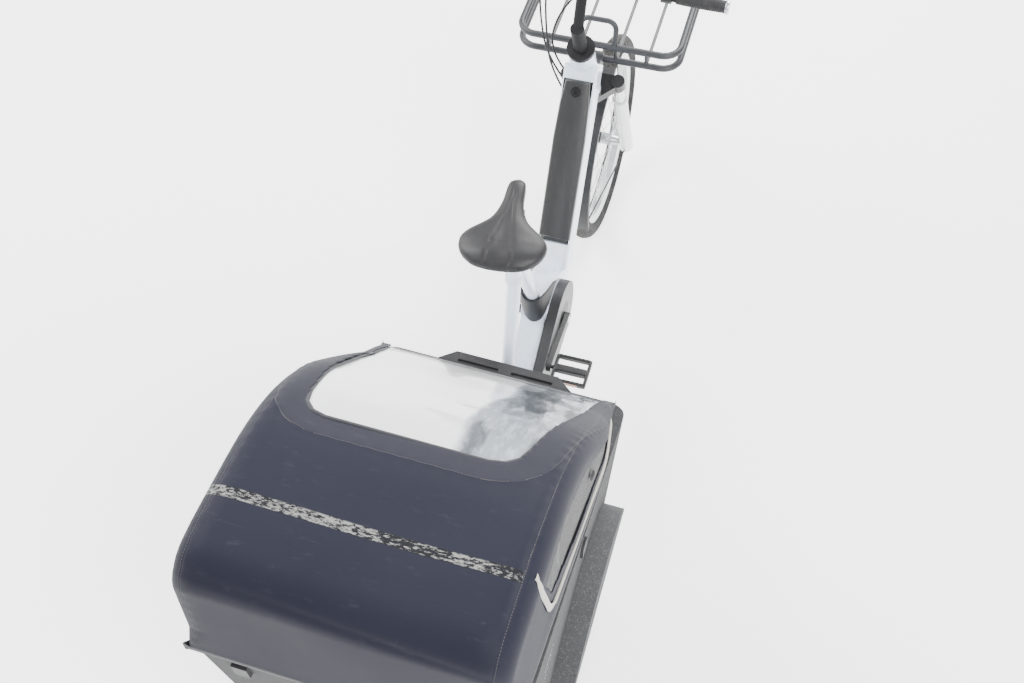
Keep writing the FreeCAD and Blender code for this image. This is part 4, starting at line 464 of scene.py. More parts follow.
def window_mesh():
    """Open mesh cloth: round holes on a square net, thin round threads between."""
    f = Finish("window mesh", Roughness=0.7, Sheen_Weight=0.1)
    uv = f.place("UV")
    net = f.wave(f.axis(uv, "X"), 0.003) * f.wave(f.axis(uv, "Y"), 0.003)
    dust = f.noise(14.0, 4.0)
    f.feed(Base_Color=f.mix(dust, (0.026, 0.0265, 0.029), (0.048, 0.0485, 0.052)),
           Alpha=f.step(net, 0.62, 0.35))
    f.relief(net, 0.0003)
    return f.material


def clear_film():
    """Clear film: an opaque white painted on its left as the white floor's reflection thins out to the right
    into long milky and clear folds; a patchy haze varies its roughness.
    """
    f = Finish("clear film", Specular_IOR_Level=0.8, Coat_Weight=0.5, Coat_Roughness=0.03)
    haze = f.noise(24.0, 6.0, 0.7)
    strip = f.streaks((17, 3.2, 3.2), 1.5, 0.4, 0.22)
    crinkle = f.streaks((60, 16, 16), 5.0, 0.66, 0.25)
    milky = f.step(strip, 0.47, 0.53)
    clear = f.step(f.axis(f.p, "X") + (strip - 0.5) * 0.12, 0.07, 0.10)
    # Painted reflection: the white colour and the alpha of 0.86 on the left stand for the white floor
    # reflected in the film.
    f.feed(Base_Color=f.mix(clear, (0.93, 0.94, 0.95), (0.66, 0.73, 0.82)),
           Roughness=0.05 + haze * 0.14,
           Alpha=0.86 - clear * (0.68 - milky * 0.22 - f.step(crinkle, 0.45, 0.7) * 0.22))
    f.relief(crinkle * 0.4 + strip * 0.6, 0.003)
    return f.material


def woven(name, dark, light, pitch=0.0026):
    """Woven cover: warp and weft ribs that pass over each other, two yarn shades and soft wear."""
    f = Finish(name, Sheen_Weight=0.25, Sheen_Roughness=0.5, Specular_IOR_Level=0.25)
    x = f.wave(f.axis(f.p, "X"), pitch)
    y = f.wave(f.axis(f.p, "Y") + f.axis(f.p, "Z"), pitch)
    yarn = x * y
    wear = f.noise(30.0, 5.0)
    f.feed(Base_Color=f.mix(f.step(yarn, -0.4, 0.6) * 0.5 + wear * 0.4, dark, light),
           Roughness=0.82 + wear * 0.1)
    f.relief(yarn * 0.5 + 0.5, 0.0004)
    return f.material


def saddle_cover():
    """Saddle cover: fine pebble grain from cells, worn smoother and lighter where the rider sits."""
    f = Finish("saddle cover", Specular_IOR_Level=0.4)
    grain = f.cells(620.0) * 0.6 + f.cells(1300.0) * 0.4
    wear = f.noise(34.0, 4.0)
    polish = f.mark("sat") * f.step(wear, 0.3, 0.7)
    f.feed(Base_Color=f.mix(wear * 0.6 + polish * 0.3, (0.0085, 0.0085, 0.0095), (0.018, 0.018, 0.020)),
           Roughness=0.5 - polish * 0.14)
    f.relief(grain, 0.00016)
    return f.material


def tread_rubber():
    """Tyre rubber: grey tread with road dust in its grooves, darker walls and a fine grain."""
    f = Finish("tread rubber", Specular_IOR_Level=0.3)
    crown = f.mark("crown")
    groove = f.mark("groove")
    dust = f.noise(48.0, 5.0, 0.65)
    body = f.mix(crown, (0.011, 0.011, 0.012), (0.030, 0.030, 0.029))
    body = f.mix(f.step(dust, 0.35, 0.75) * (0.25 + groove * 0.4), body, (0.12, 0.115, 0.105))
    f.feed(Base_Color=body, Roughness=0.74 + dust * 0.16)
    f.relief(f.noise(500.0, 3.0), 0.0002)
    return f.material


def lens(name, colour, pitch=0.0035):
    """Reflector lens: small pyramids under a clear face."""
    f = Finish(name, Roughness=0.12, Coat_Weight=1.0, Coat_Roughness=0.03)
    facet = f.cells(1 / pitch)
    f.feed(Base_Color=f.mix(f.step(facet, 0.1, 0.6), colour, shade(colour, 0.35)))
    f.relief(facet, 0.0008)
    return f.material


def battery_shell(right, out, top):
    """Battery: dull black body, and a satin lid whose relief 1 - (x / 42 mm) ** 2 rounds its light."""
    f = Finish("battery shell", Specular_IOR_Level=0.6)
    side = f.along(right, top) / 0.042
    lid = f.step(f.along(out, top), 0.0005, 0.0012)
    scuff = f.streaks((90, 40, 40), 5.0, 0.7)
    body = f.mix(lid, (0.006, 0.006, 0.0065), (0.015, 0.0152, 0.016))
    f.feed(Base_Color=f.mix(f.step(scuff, 0.5, 0.8) * 0.5, body, (0.032, 0.032, 0.034)),
           Roughness=0.30 + scuff * 0.14)
    f.relief((1.0 - side * side) + f.noise(900.0, 2.0) * 0.006, 0.009)
    return f.material


def two_zone(name, base, other, mask, rough, metal=False):
    """Two finishes on one node, parted by mask(finish), with fine grain; the other may be metal."""
    f = Finish(name, Specular_IOR_Level=0.5)
    part = mask(f)
    cloud = f.noise(32.0, 4.0)
    first = f.mix(cloud, base, shade(base, 1.4))
    second = f.mix(cloud, other, shade(other, 0.82))
    f.feed(Base_Color=f.mix(part, first, second),
           Roughness=rough[0] - 0.06 + part * (rough[1] - rough[0]) + cloud * 0.16)
    if metal:
        f.feed(Metallic=part)
    f.relief(f.noise(800.0, 2.0), 0.00006)
    return f.material


def hood_line(count):
    """Side line of the hood as s, y, z, front rim to rear rim: screen line, roof arc, back arc, back line."""
    knee_z = ROOF_Z - ROOF_R * (1 - cos(SCREEN))
    knee_y = RIM_FRONT[0] - (knee_z - RIM_FRONT[1]) / tan(SCREEN)
    crest_y = knee_y - ROOF_R * sin(SCREEN)
    down = RIM_REAR - (crest_y, ROOF_Z - BACK_R)
    back = asin(BACK_R / np.hypot(*down)) + atan2(-down[1], -down[0])
    arcs = [np.array([crest_y, ROOF_Z - radius]) + radius * vec(np.sin(turn), np.cos(turn))
            for radius, turn in ((ROOF_R, np.linspace(SCREEN, 0, 120)),
                                 (BACK_R, np.linspace(0, -back, 60)[1:]))]
    line = np.concatenate([RIM_FRONT[None], *arcs, RIM_REAR[None]])
    length = np.concatenate([[0], np.cumsum(np.linalg.norm(np.diff(line, axis=0), axis=1))])
    s = np.linspace(0, length[-1], count)
    return s, np.interp(s, length, line[:, 0]), np.interp(s, length, line[:, 1])


def rim_height(y):
    """Height of the tub's rim at a Y."""
    share = (RIM_FRONT[0] - y) / (RIM_FRONT[0] - RIM_REAR[0])
    return RIM_FRONT[1] + (RIM_REAR[1] - RIM_FRONT[1]) * share


def side_half(z):
    """Half width of the hood at a height."""
    return TUB_HALF - (z - RIM_FRONT[1]) * (TUB_HALF - TOP_HALF) / (ROOF_Z - RIM_FRONT[1])


def settled(points):
    """Hood points as the slack cloth lies: left front half leaning out, right front corner drawn in."""
    x, y, z = np.moveaxis(points, -1, 0)
    lean = 9.0 * ease(z - rim_height(y), 0, 220) * (1 - ease(-y, 650, 950)) * (1 - 0.9 * ease(x, 60, 240))
    drawn = 28.0 * ease(x, 40, 300) * (1 - ease(-y, 202, 470))
    return vec(x - lean - drawn, y, z)


def outline_distance(points, corners):
    """Signed distance to a closed outline, negative inside, and the run along it to the nearest place."""
    corners = np.asarray(corners, float)
    best = np.full(points.shape[:-1], 1e9)
    run = np.zeros(points.shape[:-1])
    inside = np.zeros(points.shape[:-1], bool)
    start = 0.0
    for a, b in zip(corners, np.roll(corners, -1, 0)):
        edge = b - a
        length = np.linalg.norm(edge)
        t = np.clip(((points - a) @ edge) / length ** 2, 0, 1)
        far = np.linalg.norm(points - a - t[..., None] * edge, axis=-1)
        run = np.where(far < best, start + t * length, run)
        best = np.minimum(best, far)
        level = (a[1] > points[..., 1]) != (b[1] > points[..., 1])
        rise = edge[1] if abs(edge[1]) > 1e-9 else 1e-9
        inside ^= level & (points[..., 0] < a[0] + (points[..., 1] - a[1]) * edge[0] / rise)
        start += length
    return np.where(inside, -best, best), run


def hood_grid():
    """Hood surface in millimetres on a grid of stations s and places across, with its seam fields.

    A station is a plane through the roof line's point P and a rim point R; behind FAN_Y they fan out. Half of
    it rises from R to P less the shoulder radius, turns a quarter circle, and runs in to the middle.
    """
    s, y, z = hood_line(HOOD_ROWS)
    turn_at = np.searchsorted(-y, -FAN_Y)
    tail = (s - s[turn_at]) / (s[-1] - s[turn_at])
    rim_y = np.where(s < s[turn_at], y, y[turn_at] + (RIM_REAR[0] - y[turn_at]) * np.clip(tail, 0, 1))
    foot = vec(rim_y, rim_height(rim_y))
    head = vec(y, z)
    height = np.linalg.norm(head - foot, axis=1, keepdims=True)
    rise = np.where(height > 1e-6, (head - foot) / np.maximum(height, 1e-6), (0, 1))
    radius = np.minimum(SHOULDER_R, 0.46 * height)
    low = side_half(foot[:, 1:])
    top = side_half(z[:, None])
    level = top - radius
    wall = height - radius
    up = np.linspace(0, 1, SIDE_COLS)
    arc = np.linspace(0, pi / 2, ARC_COLS + 1)[1:]
    inward = np.linspace(1, 0, TOP_COLS)[1:]
    a = np.concatenate([low + (top - low) * up, level + radius * np.cos(arc), level * inward], 1)
    b = np.concatenate([wall * up, wall + radius * np.sin(arc), height + 0 * inward], 1)
    a = np.concatenate([-a, a[:, -2::-1]], 1)
    b = np.concatenate([b, b[:, -2::-1]], 1)
    place = foot[:, None] + rise[:, None] * b[..., None]
    points = vec(a, place[..., 0], place[..., 1])
    step = np.linalg.norm(np.diff(points, axis=1), axis=-1)
    across = np.concatenate([np.zeros((len(s), 1)), np.cumsum(step, 1)], 1)
    across = across - across[:, a.shape[1] // 2, None]
    down = s[:, None]
    outline = WINDOW + tuple((-x, y_at) for x, y_at in reversed(WINDOW))
    dense = np.concatenate([np.linspace(p, q, 12, endpoint=False)
                            for p, q in zip(outline, np.roll(outline, -1, 0))])
    dense = vec(dense[:, 0] + WINDOW_SHIFT, np.interp(-dense[:, 1], -y, s, left=-30))
    flat = vec(across, down)
    border, run = outline_distance(flat, dense)
    side, _ = outline_distance(points[..., 1:], SIDE_WINDOW)
    seam = level + 0.5 * pi * radius * 0.35
    fields = {
        "border": np.minimum(border, FAR_OFF),
        "run": run,
        "shoulder": np.abs(across) - seam,
        "hem": np.where((np.abs(a) < level) & (height > 30), FAR_OFF, np.minimum(b, FAR_OFF)),
        "stripe": np.where(across < seam + 4, down - np.interp(-STRIPE_Y, -y, s), FAR_OFF),
        "side": np.where(np.abs(a) > top - 0.6 * radius, side, FAR_OFF),
    }
    return settled(points), flat, fields, dense


def outward(points):
    """Unit normals of a grid from its two tangents, turned away from the inside."""
    n = unit(np.cross(np.gradient(points, axis=0), np.gradient(points, axis=1)))
    inside = np.array([0, -650.0, 700.0])
    return n * np.sign(np.sum(n * (points - inside), -1, keepdims=True))


def make_hood():
    """Canvas hood, window film and mesh windows on one surface, with its sag, puckers and creases."""
    points, flat, fields, dense = hood_grid()
    normal = outward(points)
    s = flat[..., 1]
    x = points[..., 0] / TUB_HALF
    middle = points[:, points.shape[1] // 2, 1]
    front_bow, rear_bow = (np.interp(-y, -middle, s[:, 0]) for y in BOWS_Y)
    roof = np.clip(1 - x ** 2, 0, 1) * (fields["hem"] > 60)
    sag = 5.0 * np.sin(pi * np.clip((s - front_bow) / (rear_bow - front_bow), 0, 1)) ** 2 * roof
    sag += 3.0 * bell(s - front_bow + 70, 45) * roof
    pucker = 0.6 * np.sin(fields["run"] / 6.0) * bell(fields["border"] - 55, 9)
    pucker += 0.4 * np.sin(s / 5.5) * bell(fields["shoulder"], 9)
    swell = 2.2 * np.sin(flat[..., 0] / 74.0 + 0.6) * np.sin(s / 93.0) * ease(fields["hem"], 10, 90)
    crease = 2.4 * bell(s - 1190 - 0.06 * flat[..., 0], 7) * roof
    edge = 4.0 * ease(60 - fields["border"], 0, 7) * ease(fields["border"], 0, 12)
    puff = 5.0 * bell(fields["shoulder"], 60) * bell(s - 480, 330)
    lift = np.clip(-sag + pucker + swell - crease + 0.35 * edge + puff, -9, 9) * ease(fields["hem"], 0, 60)
    cloth = points + normal * lift[..., None]
    marks = {key: fields[key] / 1000 for key in ("border", "run", "shoulder", "hem", "stripe")}

    def corner_mean(field):
        return (field[:-1, :-1] + field[1:, :-1] + field[:-1, 1:] + field[1:, 1:]) / 4

    border = corner_mean(fields["border"])
    side = corner_mean(fields["side"])
    uv = flat / 1000
    canvas = skin("hood_canvas", upright(cloth), keep=(border > 0) & (side > 0), flat=uv, marks=marks,
                  flip=True)
    wall = canvas.modifiers.new("thickness", "SOLIDIFY")
    wall.thickness = 0.0016
    wall.offset = -1.0
    finished(canvas, "rear_carriage", "hood_cloth", hood_cloth(), "hood_fabric")

    ripple = 1.6 * np.sin(flat[..., 0] / 41.0 + 0.9 * np.sin(s / 60.0)) * np.sin(s / 120.0)
    glazing = points + normal * (ripple * ease(-fields["border"], 0, 40) - 2.4)[..., None]
    film = skin("windscreen_film", upright(glazing), keep=border < 9, flat=uv, flip=True)
    finished(film, "rear_carriage", "film", clear_film(), "hood_windscreen")

    net = points + normal * (-2.0 + 1.2 * np.sin(s / 37.0) * ease(-fields["side"], 0, 30))[..., None]
    screens = skin("mesh_windows", upright(net), keep=side < 10, flat=uv, flip=True)
    finished(screens, "rear_carriage", "mesh_cloth", window_mesh(), "side_windows")
    return points, normal, dense, s


def tape_on(points, normal, way, s, half, thick):
    """Ribbon of that half width along a way (across, s) on the hood's top, lifted by thick in its middle."""
    middle = points.shape[1] // 2
    y, z, up_y, up_z = (np.interp(way[:, 1], s[:, middle], grid[:, middle, k])
                        for grid in (points, normal) for k in (1, 2))
    path = settled(vec(way[:, 0], y, z))
    up = unit(vec(0, up_y, up_z))
    t = np.linspace(-1, 1, 9)
    return carried(path, vec(half * t, thick * (1 - t ** 4) - 0.6), up)


def side_place(y, z):
    """Point on the hood's right side at a Y and Z, just outside the cloth; it turns in over the shoulder."""
    _, line_y, line_z = hood_line(400)
    roof = np.interp(-y, -line_y, line_z)
    over = np.clip(z - (roof - SHOULDER_R), 0, SHOULDER_R)
    x = side_half(z) - SHOULDER_R + np.sqrt(SHOULDER_R ** 2 - over ** 2)
    return settled(vec(x, y, z))


def make_hood_trim(points, normal, dense, s):
    """Binding round the window, hem round the rim, cream piping on the right side, and its toggle."""
    webbing = woven("hood binding", (0.009, 0.0093, 0.014), (0.022, 0.0225, 0.028), 0.0022)
    shown = dense[dense[:, 1] > 6]
    turn = np.argmax(np.linalg.norm(np.diff(shown, axis=0), axis=1)) + 1
    band = tape_on(points, normal, np.roll(shown, -turn, 0), s, 4.5, 1.4)
    finished(skin("window_binding", upright(band), flip=True), "rear_carriage", "hood_cloth", webbing)

    rear = vec(np.linspace(-TUB_HALF, TUB_HALF, 60), *RIM_REAR)
    hem = np.concatenate([points[:-1:3, 0], rear, points[-2::-3, -1]])
    sideways = np.sign(hem[:, 0]) * (np.abs(hem[:, 0]) > 240)
    out = unit(vec(sideways, -1.0 * (hem[:, 1] < -1100), 0))
    out = unit(out + (0, 0, 1e-3))
    t = np.linspace(-1, 1, 7)
    profile = vec(9.0 * t, 1.5 * (1 - t ** 4) + 0.2)
    strip = carried(hem + (0, 0, 7), profile, out)
    finished(skin("hood_hem", upright(strip), flip=True), "rear_carriage", "hood_cloth", webbing)

    cream = woven("cream piping", (0.40, 0.385, 0.33), (0.56, 0.54, 0.48), 0.0018)
    route = through(PIPING, 200)
    path = side_place(route[:, 0], route[:, 1])
    frame_at = carried(path, ((1, 0), (0, 1)), (1, 0, 0)) - path[:, None]
    thin = ease(np.linspace(0, 1, len(path)), 0.40, 0.50)[:, None, None]
    turn = circle(16)[None, :, None]
    tube = path[:, None] + frame_at[:, :1] * np.cos(turn) * (7.5 - 4.2 * thin)
    tube = tube + frame_at[:, 1:] * (np.sin(turn) * (1.6 + 1.7 * thin) + 2.6)
    finished(skin("cream_piping", upright(tube), closed=1), "rear_carriage", "hood_cloth", cream)

    knob = side_place(*TOGGLE)
    turn_way = circle(40)
    rise = np.array([(0, 10), (0.5, 10), (2.5, 9.6), (5, 8.4), (6.5, 5.5), (7.2, 2.0), (7.4, 0)])
    depth, reach = rise.T[..., None]
    disc = vec(depth, reach * np.cos(turn_way), 1.7 * reach * np.sin(turn_way))
    toggle = skin("window_toggle", upright(knob + disc), closed=1, flip=True)
    finished(toggle, "rear_carriage", "black_plastic",
             moulded("toggle plastic", (0.012, 0.012, 0.014), (0.03, 0.03, 0.033)))


def make_tyre(name, centre, place, body, finish, node, outer, width, bead):
    """Tyre turned about its axle: wall, crown arc x = h sin t, r = R - h + h cos t, wall, with rows of knobs.

    A knob is the product of a smooth bar across the crown and one round the wheel, shifted row by row.
    """
    knobs = 64
    row_step = 0.36
    half = width / 2
    wall = np.linspace(0, 1, 9)[:-1]
    seat = 0.62 * half
    t = np.linspace(-pi / 2, pi / 2, 57)
    flank = seat + (half - seat) * wall
    x = np.concatenate([-flank, half * np.sin(t), flank[::-1]])
    rise = bead + (outer - half - bead) * wall
    r = np.concatenate([rise, outer - half + half * np.cos(t), rise[::-1]])
    slant = np.concatenate([np.full(8, -2.0), t, np.full(8, 2.0)])
    around = circle(768)[:, None]
    rows = np.round(slant / row_step)
    inrow = 1 - ease(np.abs(slant / row_step - rows), 0.30, 0.42)
    phase = around * knobs / (2 * pi) + 0.5 * (rows % 2) + 0.12 * np.abs(slant)
    bar = 1 - ease(np.abs(phase % 1 - 0.5), 0.30, 0.40)
    crown = 1 - ease(np.abs(slant), 1.12, 1.25)
    knob = bar * inrow
    lift = -2.6 * crown * (1 - knob)
    tilt = np.clip(slant, -1.3, 1.3)
    radius = r + lift * np.cos(tilt)
    offset = x + lift * np.sin(tilt)
    points = centre + vec(offset, radius * np.cos(around), radius * np.sin(around))
    marks = {"crown": crown + 0 * radius, "groove": crown * (1 - knob)}
    piece = skin(name, place(points), closed=2, marks=marks)
    finished(piece, body, "tyre_rubber", finish, node)


def make_grips():
    """Grips about the handlebar's ends: a slow swell, fine ribs, a plain collar, and a metal end ring."""
    finish = moulded("grip rubber", (0.011, 0.011, 0.012), (0.026, 0.026, 0.028), 1400.0, 0.0001, 0.68)
    alloy = bare_metal("grip ring alloy", (0.66, 0.67, 0.69), (900, 40, 900), 0.3)
    t = np.linspace(0, 1, 150)
    ribs = 0.55 * np.sin(2 * pi * t * 22) * ease(t, 0.08, 0.14) * (1 - ease(t, 0.86, 0.92))
    radius = 15.2 - 1.2 * np.abs(2 * t - 1) ** 2 + ribs
    ends = np.minimum(ease(t, -0.02, 0.02), 1 - ease(t, 0.985, 1.015))
    radius = (GRIP_BORE + (radius - GRIP_BORE) * ends)[:, None, None]
    reach = np.array([(-4, GRIP_BORE), (-4, 15.4), (-3.2, 16.0), (3.2, 16.0), (4.2, 15.2), (4.6, 10),
                      (4.7, 0.01)])[..., None, None]
    turn = circle(40)[None, :, None]
    for side, word in SIDES:
        bend = BAR + BAR_BEND * (side, 1, 1)
        end = BAR + BAR_END * (side, 1, 1)
        out = unit(end - bend)
        first = unit(np.cross(out, (0, 0, 1)))
        spin = np.cos(turn) * first + np.sin(turn) * np.cross(out, first)
        axis = end - out * (GRIP_LENGTH + GRIP_INSET) + out * (t * GRIP_LENGTH)[:, None]
        grip = skin("grip_" + word, leaned(axis[:, None] + radius * spin), closed=1, flip=True)
        finished(grip, "steering", "grip_rubber", finish, "grips")
        cap = leaned(end + out * reach[:, 0] + reach[:, 1] * spin)
        finished(skin("grip_ring_" + word, cap, closed=1, flip=True), "steering", "alloy", alloy)


def make_cables():
    """Sleeved cables: round tubes along NURBS splines through route points."""
    finish = moulded("cable sleeve", (0.008, 0.008, 0.009), (0.02, 0.02, 0.021), 2000.0, 0.00004, 0.4)
    turn = circle(12)
    profile = CABLE_R / 1000 * vec(np.cos(turn), np.sin(turn))
    for index, (route, length) in enumerate(zip(CABLE_ROUTES, CABLE_LENGTHS)):
        marks = leaned(np.array(route, float) + BAR)
        curve = bpy.data.curves.new("cable_line", "CURVE")
        curve.dimensions = "3D"
        curve.resolution_u = 24
        spline = curve.splines.new("NURBS")
        spline.points.add(len(marks) - 1)
        spline.points.foreach_set("co", np.hstack([marks, np.ones((len(marks), 1))]).ravel())
        spline.order_u = 3
        spline.use_endpoint_u = True
        guide = linked("cable_line", curve)
        bpy.context.view_layer.update()
        path = coordinates(bpy.data.meshes.new_from_object(evaluated(guide)))
        bpy.data.objects.remove(guide)
        tube = skin(f"control_cable_{index + 1}", carried(path, profile, (0.3, 1, 0.1)), closed=1)
        tube.data.materials.append(finish)
        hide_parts("control_cables")
        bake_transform(tube)


def make_saddle():
    """Saddle as closed sections along its length: half width, crown and base drawn through given stations.

    The upper half of a section is x = w cos a, z = brow + (top - brow) sin(a) ** 0.8, and the lower half
    drops to a flat base. Two seams that part towards the back and a middle dip are bells off the top.
    """
    v = np.linspace(0, 1, 160)
    stations = np.array([(0.0, 14, -10, 26), (0.1, 21, 0, 38), (0.3, 26.5, -3, 44), (0.46, 45, -4, 48),
                         (0.62, 88, -3, 48), (0.74, 98, -1, 48), (0.88, 84, -2, 45), (1.0, 45, -14, 34)])
    half, crown, drop = (through(stations[:, [0, k]], 400).T for k in (1, 2, 3))
    width = np.minimum(np.interp(v, *half), SADDLE_HALF) - 1.0
    top = np.interp(v, *crown)
    low = -np.interp(v, *drop)
    nose, tail = (np.sqrt(np.clip(1 - (1 - np.minimum(way, 1)) ** 2, 0, 1))
                  for way in (v / 0.07, (1 - v) / 0.05))
    close = (nose * tail)[:, None]
    middle = (0.45 * top + 0.55 * low)[:, None]
    brow = np.maximum(top - 0.6 * width, middle[:, 0])[:, None]
    a = circle(128)
    upper = np.sin(a) >= 0
    flank = np.sign(np.cos(a)) * np.abs(np.cos(a)) ** 0.55 * (1 - 0.14 * np.abs(np.sin(a)))
    x = width[:, None] * np.where(upper, np.cos(a), flank)
    z_up = brow + (top[:, None] - brow) * np.clip(np.sin(a), 0, 1) ** 0.8
    z_low = brow + (low[:, None] - brow) * np.clip(-np.sin(a), 0, 1) ** 0.5
    seam_x = (4.0 + 26.0 * ease(v, 0.2, 1.0))[:, None]
    groove = 1.5 * bell(np.abs(x) - seam_x, 2.2) + 3.0 * bell(x / seam_x, 0.8) * ease(v, 0.3, 0.6)[:, None]
    z = np.where(upper, z_up - groove * ease(v, 0.12, 0.24)[:, None], z_low)
    z = middle + (z - middle) * (0.25 + 0.75 * close) * (close > 1e-6)
    points = vec(x * close, SADDLE_NOSE_Y - SADDLE_LENGTH * v[:, None], SADDLE_Z + z)
    sat = bell(v - 0.78, 0.16)[:, None] * np.where(upper, np.clip(np.sin(a), 0, 1), 0)
    p = points - SEAT_TOP
    spun = p * cos(SADDLE_TURN) + np.cross(SEAT_UP, p) * sin(SADDLE_TURN)
    spun = spun + SEAT_UP * (p @ SEAT_UP)[..., None] * (1 - cos(SADDLE_TURN))
    piece = skin("saddle_pad", leaned(spun + SEAT_TOP), closed=1, marks={"sat": sat}, flip=True)
    finished(piece, "seat", "saddle_cover", saddle_cover(), "saddle")


def pad_points(size, power=0.22, rows=60, cols=120):
    """Closed rounded block: a superquadric, each axis a signed power of sines and cosines."""
    u = np.linspace(-pi / 2, pi / 2, rows)[:, None]
    w = circle(cols)[None]

    def bent(value):
        return np.sign(value) * np.abs(value) ** power

    x = size[0] * bent(np.cos(u)) * bent(np.cos(w))
    y = size[1] * bent(np.cos(u)) * bent(np.sin(w))
    return vec(x, y, size[2] * bent(np.sin(u)))


def blocks(name, place, parts):
    """One mesh of rounded blocks, each given as (middle, half sizes) in millimetres about a place."""
    rows = 26
    cols = 48
    grids = [pad_points(size, 0.3, rows, cols) + place + middle for middle, size in parts]
    keep = np.ones((len(parts) * rows - 1, cols), bool)
    keep[rows - 1::rows] = False
    return skin(name, leaned(np.concatenate(grids)), closed=1, keep=keep, flip=True)


def make_pedals():
    """Open pedal cages: toothed rails, end plates and a barrel round the axle, with a lens on each rail."""
    resin = moulded("pedal resin", (0.007, 0.007, 0.008), (0.018, 0.018, 0.019), 1300.0, 0.00008, 0.42)
    orange = lens("pedal lens", (0.80, 0.22, 0.015), 0.0025)
    rails = (-36.5, 36.5)
    cage = [((0, y, 0), (46.5, 4.2, 8.0)) for y in rails]
    cage += [((x, 0, 0), (4.0, 40.5, 8.5)) for x in (-43, 43)]
    cage += [((0, 0, 0), (46.0, 10.0, 10.0))]
    cage += [((x, y, 6.5), (2.6, 3.0, 3.4)) for x in range(-36, 37, 12) for y in rails]
    lenses = [((0, y, 0), (26.0, 1.0, 4.6)) for y in (-40.0, 40.0)]
    for side, word in SIDES:
        place = CRANK_AXIS + side * PEDAL_REACH
        body = word + "_pedal"
        finished(blocks("pedal_cage_" + word, place, cage), body, "black_plastic", resin, "pedal_" + word)
        finished(blocks("pedal_lens_" + word, place, lenses), body, "lamp", orange)


def make_boot():
    """Motor cover: a collar round the seat tube's foot that ends in two fins, ruled between two smooth rims.

    Outer wall = low (1 - t) + top t + 3 sin(pi t) n, inner wall 3 mm inside it, thinning at the fins' ends.
    """
    side_top = np.array([(17, 60.5, 502), (29, 73, 508), (37, 104, 501), (38.7, 152, 474)], float)
    side_low = np.array([(17, 76, 384), (32, 91, 417), (37.7, 118, 445), (38.7, 166, 461)], float)
    count = 161
    thickness = 3.0
    rims = [through(np.concatenate([side[::-1] * (-1, 1, 1), [middle], side]), count)
            for side, middle in ((side_low, (0, 71, 371)), (side_top, (0, 56, 499)))]
    t = np.linspace(0, 1, 25)[None, :, None]
    face = rims[0][:, None] * (1 - t) + rims[1][:, None] * t
    away = unit(np.cross(np.gradient(face, axis=0), np.gradient(face, axis=1)))
    away = -away * np.sign(away[count // 2, 12, 1])
    thick = thickness * ease(1 - np.abs(np.linspace(-1, 1, count)), 0, 0.06)[:, None, None]
    outer = face + away * thickness * np.sin(pi * t)
    wall = np.concatenate([outer, (outer - away * thick)[:, ::-1]], 1)
    finish = moulded("boot plastic", (0.0095, 0.0095, 0.011), (0.021, 0.021, 0.023))
    boot = skin("motor_boot", leaned(wall), closed=1)
    finished(boot, "tilt_frame", "black_plastic", finish, "motor_cover")


def stuff(piece, cap):
    """Swell a pad with the cloth solver: inside pressure, no gravity, each point moved at most cap metres."""
    frames = 20
    even = piece.modifiers.new("even", "REMESH")
    even.mode = "VOXEL"
    even.voxel_size = 0.009
    bpy.context.view_layer.update()
    mesh = bpy.data.meshes.new_from_object(evaluated(piece))
    piece.modifiers.clear()
    piece.data = mesh
    cloth = piece.modifiers.new("stuffing", "CLOTH")
    cloth.settings.use_pressure = True
    cloth.settings.uniform_pressure_force = 4.0
    cloth.settings.effector_weights.gravity = 0.0
    cloth.point_cache.frame_end = frames
    rest = coordinates(mesh)
    for number in range(1, frames + 1):
        scene.frame_set(number)
    move = coordinates(evaluated(piece).data) - rest
    reach = np.linalg.norm(move, axis=1, keepdims=True)
    piece.modifiers.clear()
    scene.frame_set(1)
    mesh.vertices.foreach_set("co", (rest + move * np.minimum(1, cap / np.maximum(reach, 1e-9))).ravel())
    mesh.update()


def make_cushions():
    """Bench and backrest pads: rounded blocks in their solids' places, swollen by the cloth solver."""
    cover = woven("cushion cover", (0.024, 0.025, 0.029), (0.06, 0.061, 0.067))
    for name, node, lean in (("bench_pad", "bench_cushion", 0.0),
                             ("backrest_pad", "backrest_cushion", atan2(46, 645))):
        low, high = (np.array(corner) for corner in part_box(node))
        size = (high - low) / 2
        if lean:
            size = size - (0, abs(sin(lean)) * size[2] - 0.002, 0)
        x, y, z = np.moveaxis(pad_points(size - 0.007), -1, 0)
        c = cos(lean)
        s = sin(lean)
        turned = vec(x, c * y - s * z, s * y + c * z)
        piece = skin(name, turned + (low + high) / 2, closed=1)
        stuff(piece, 0.006)
        piece.data.polygons.foreach_set("use_smooth", np.ones(len(piece.data.polygons), bool))
        finished(piece, "rear_carriage", "cushion_cloth", cover, node)


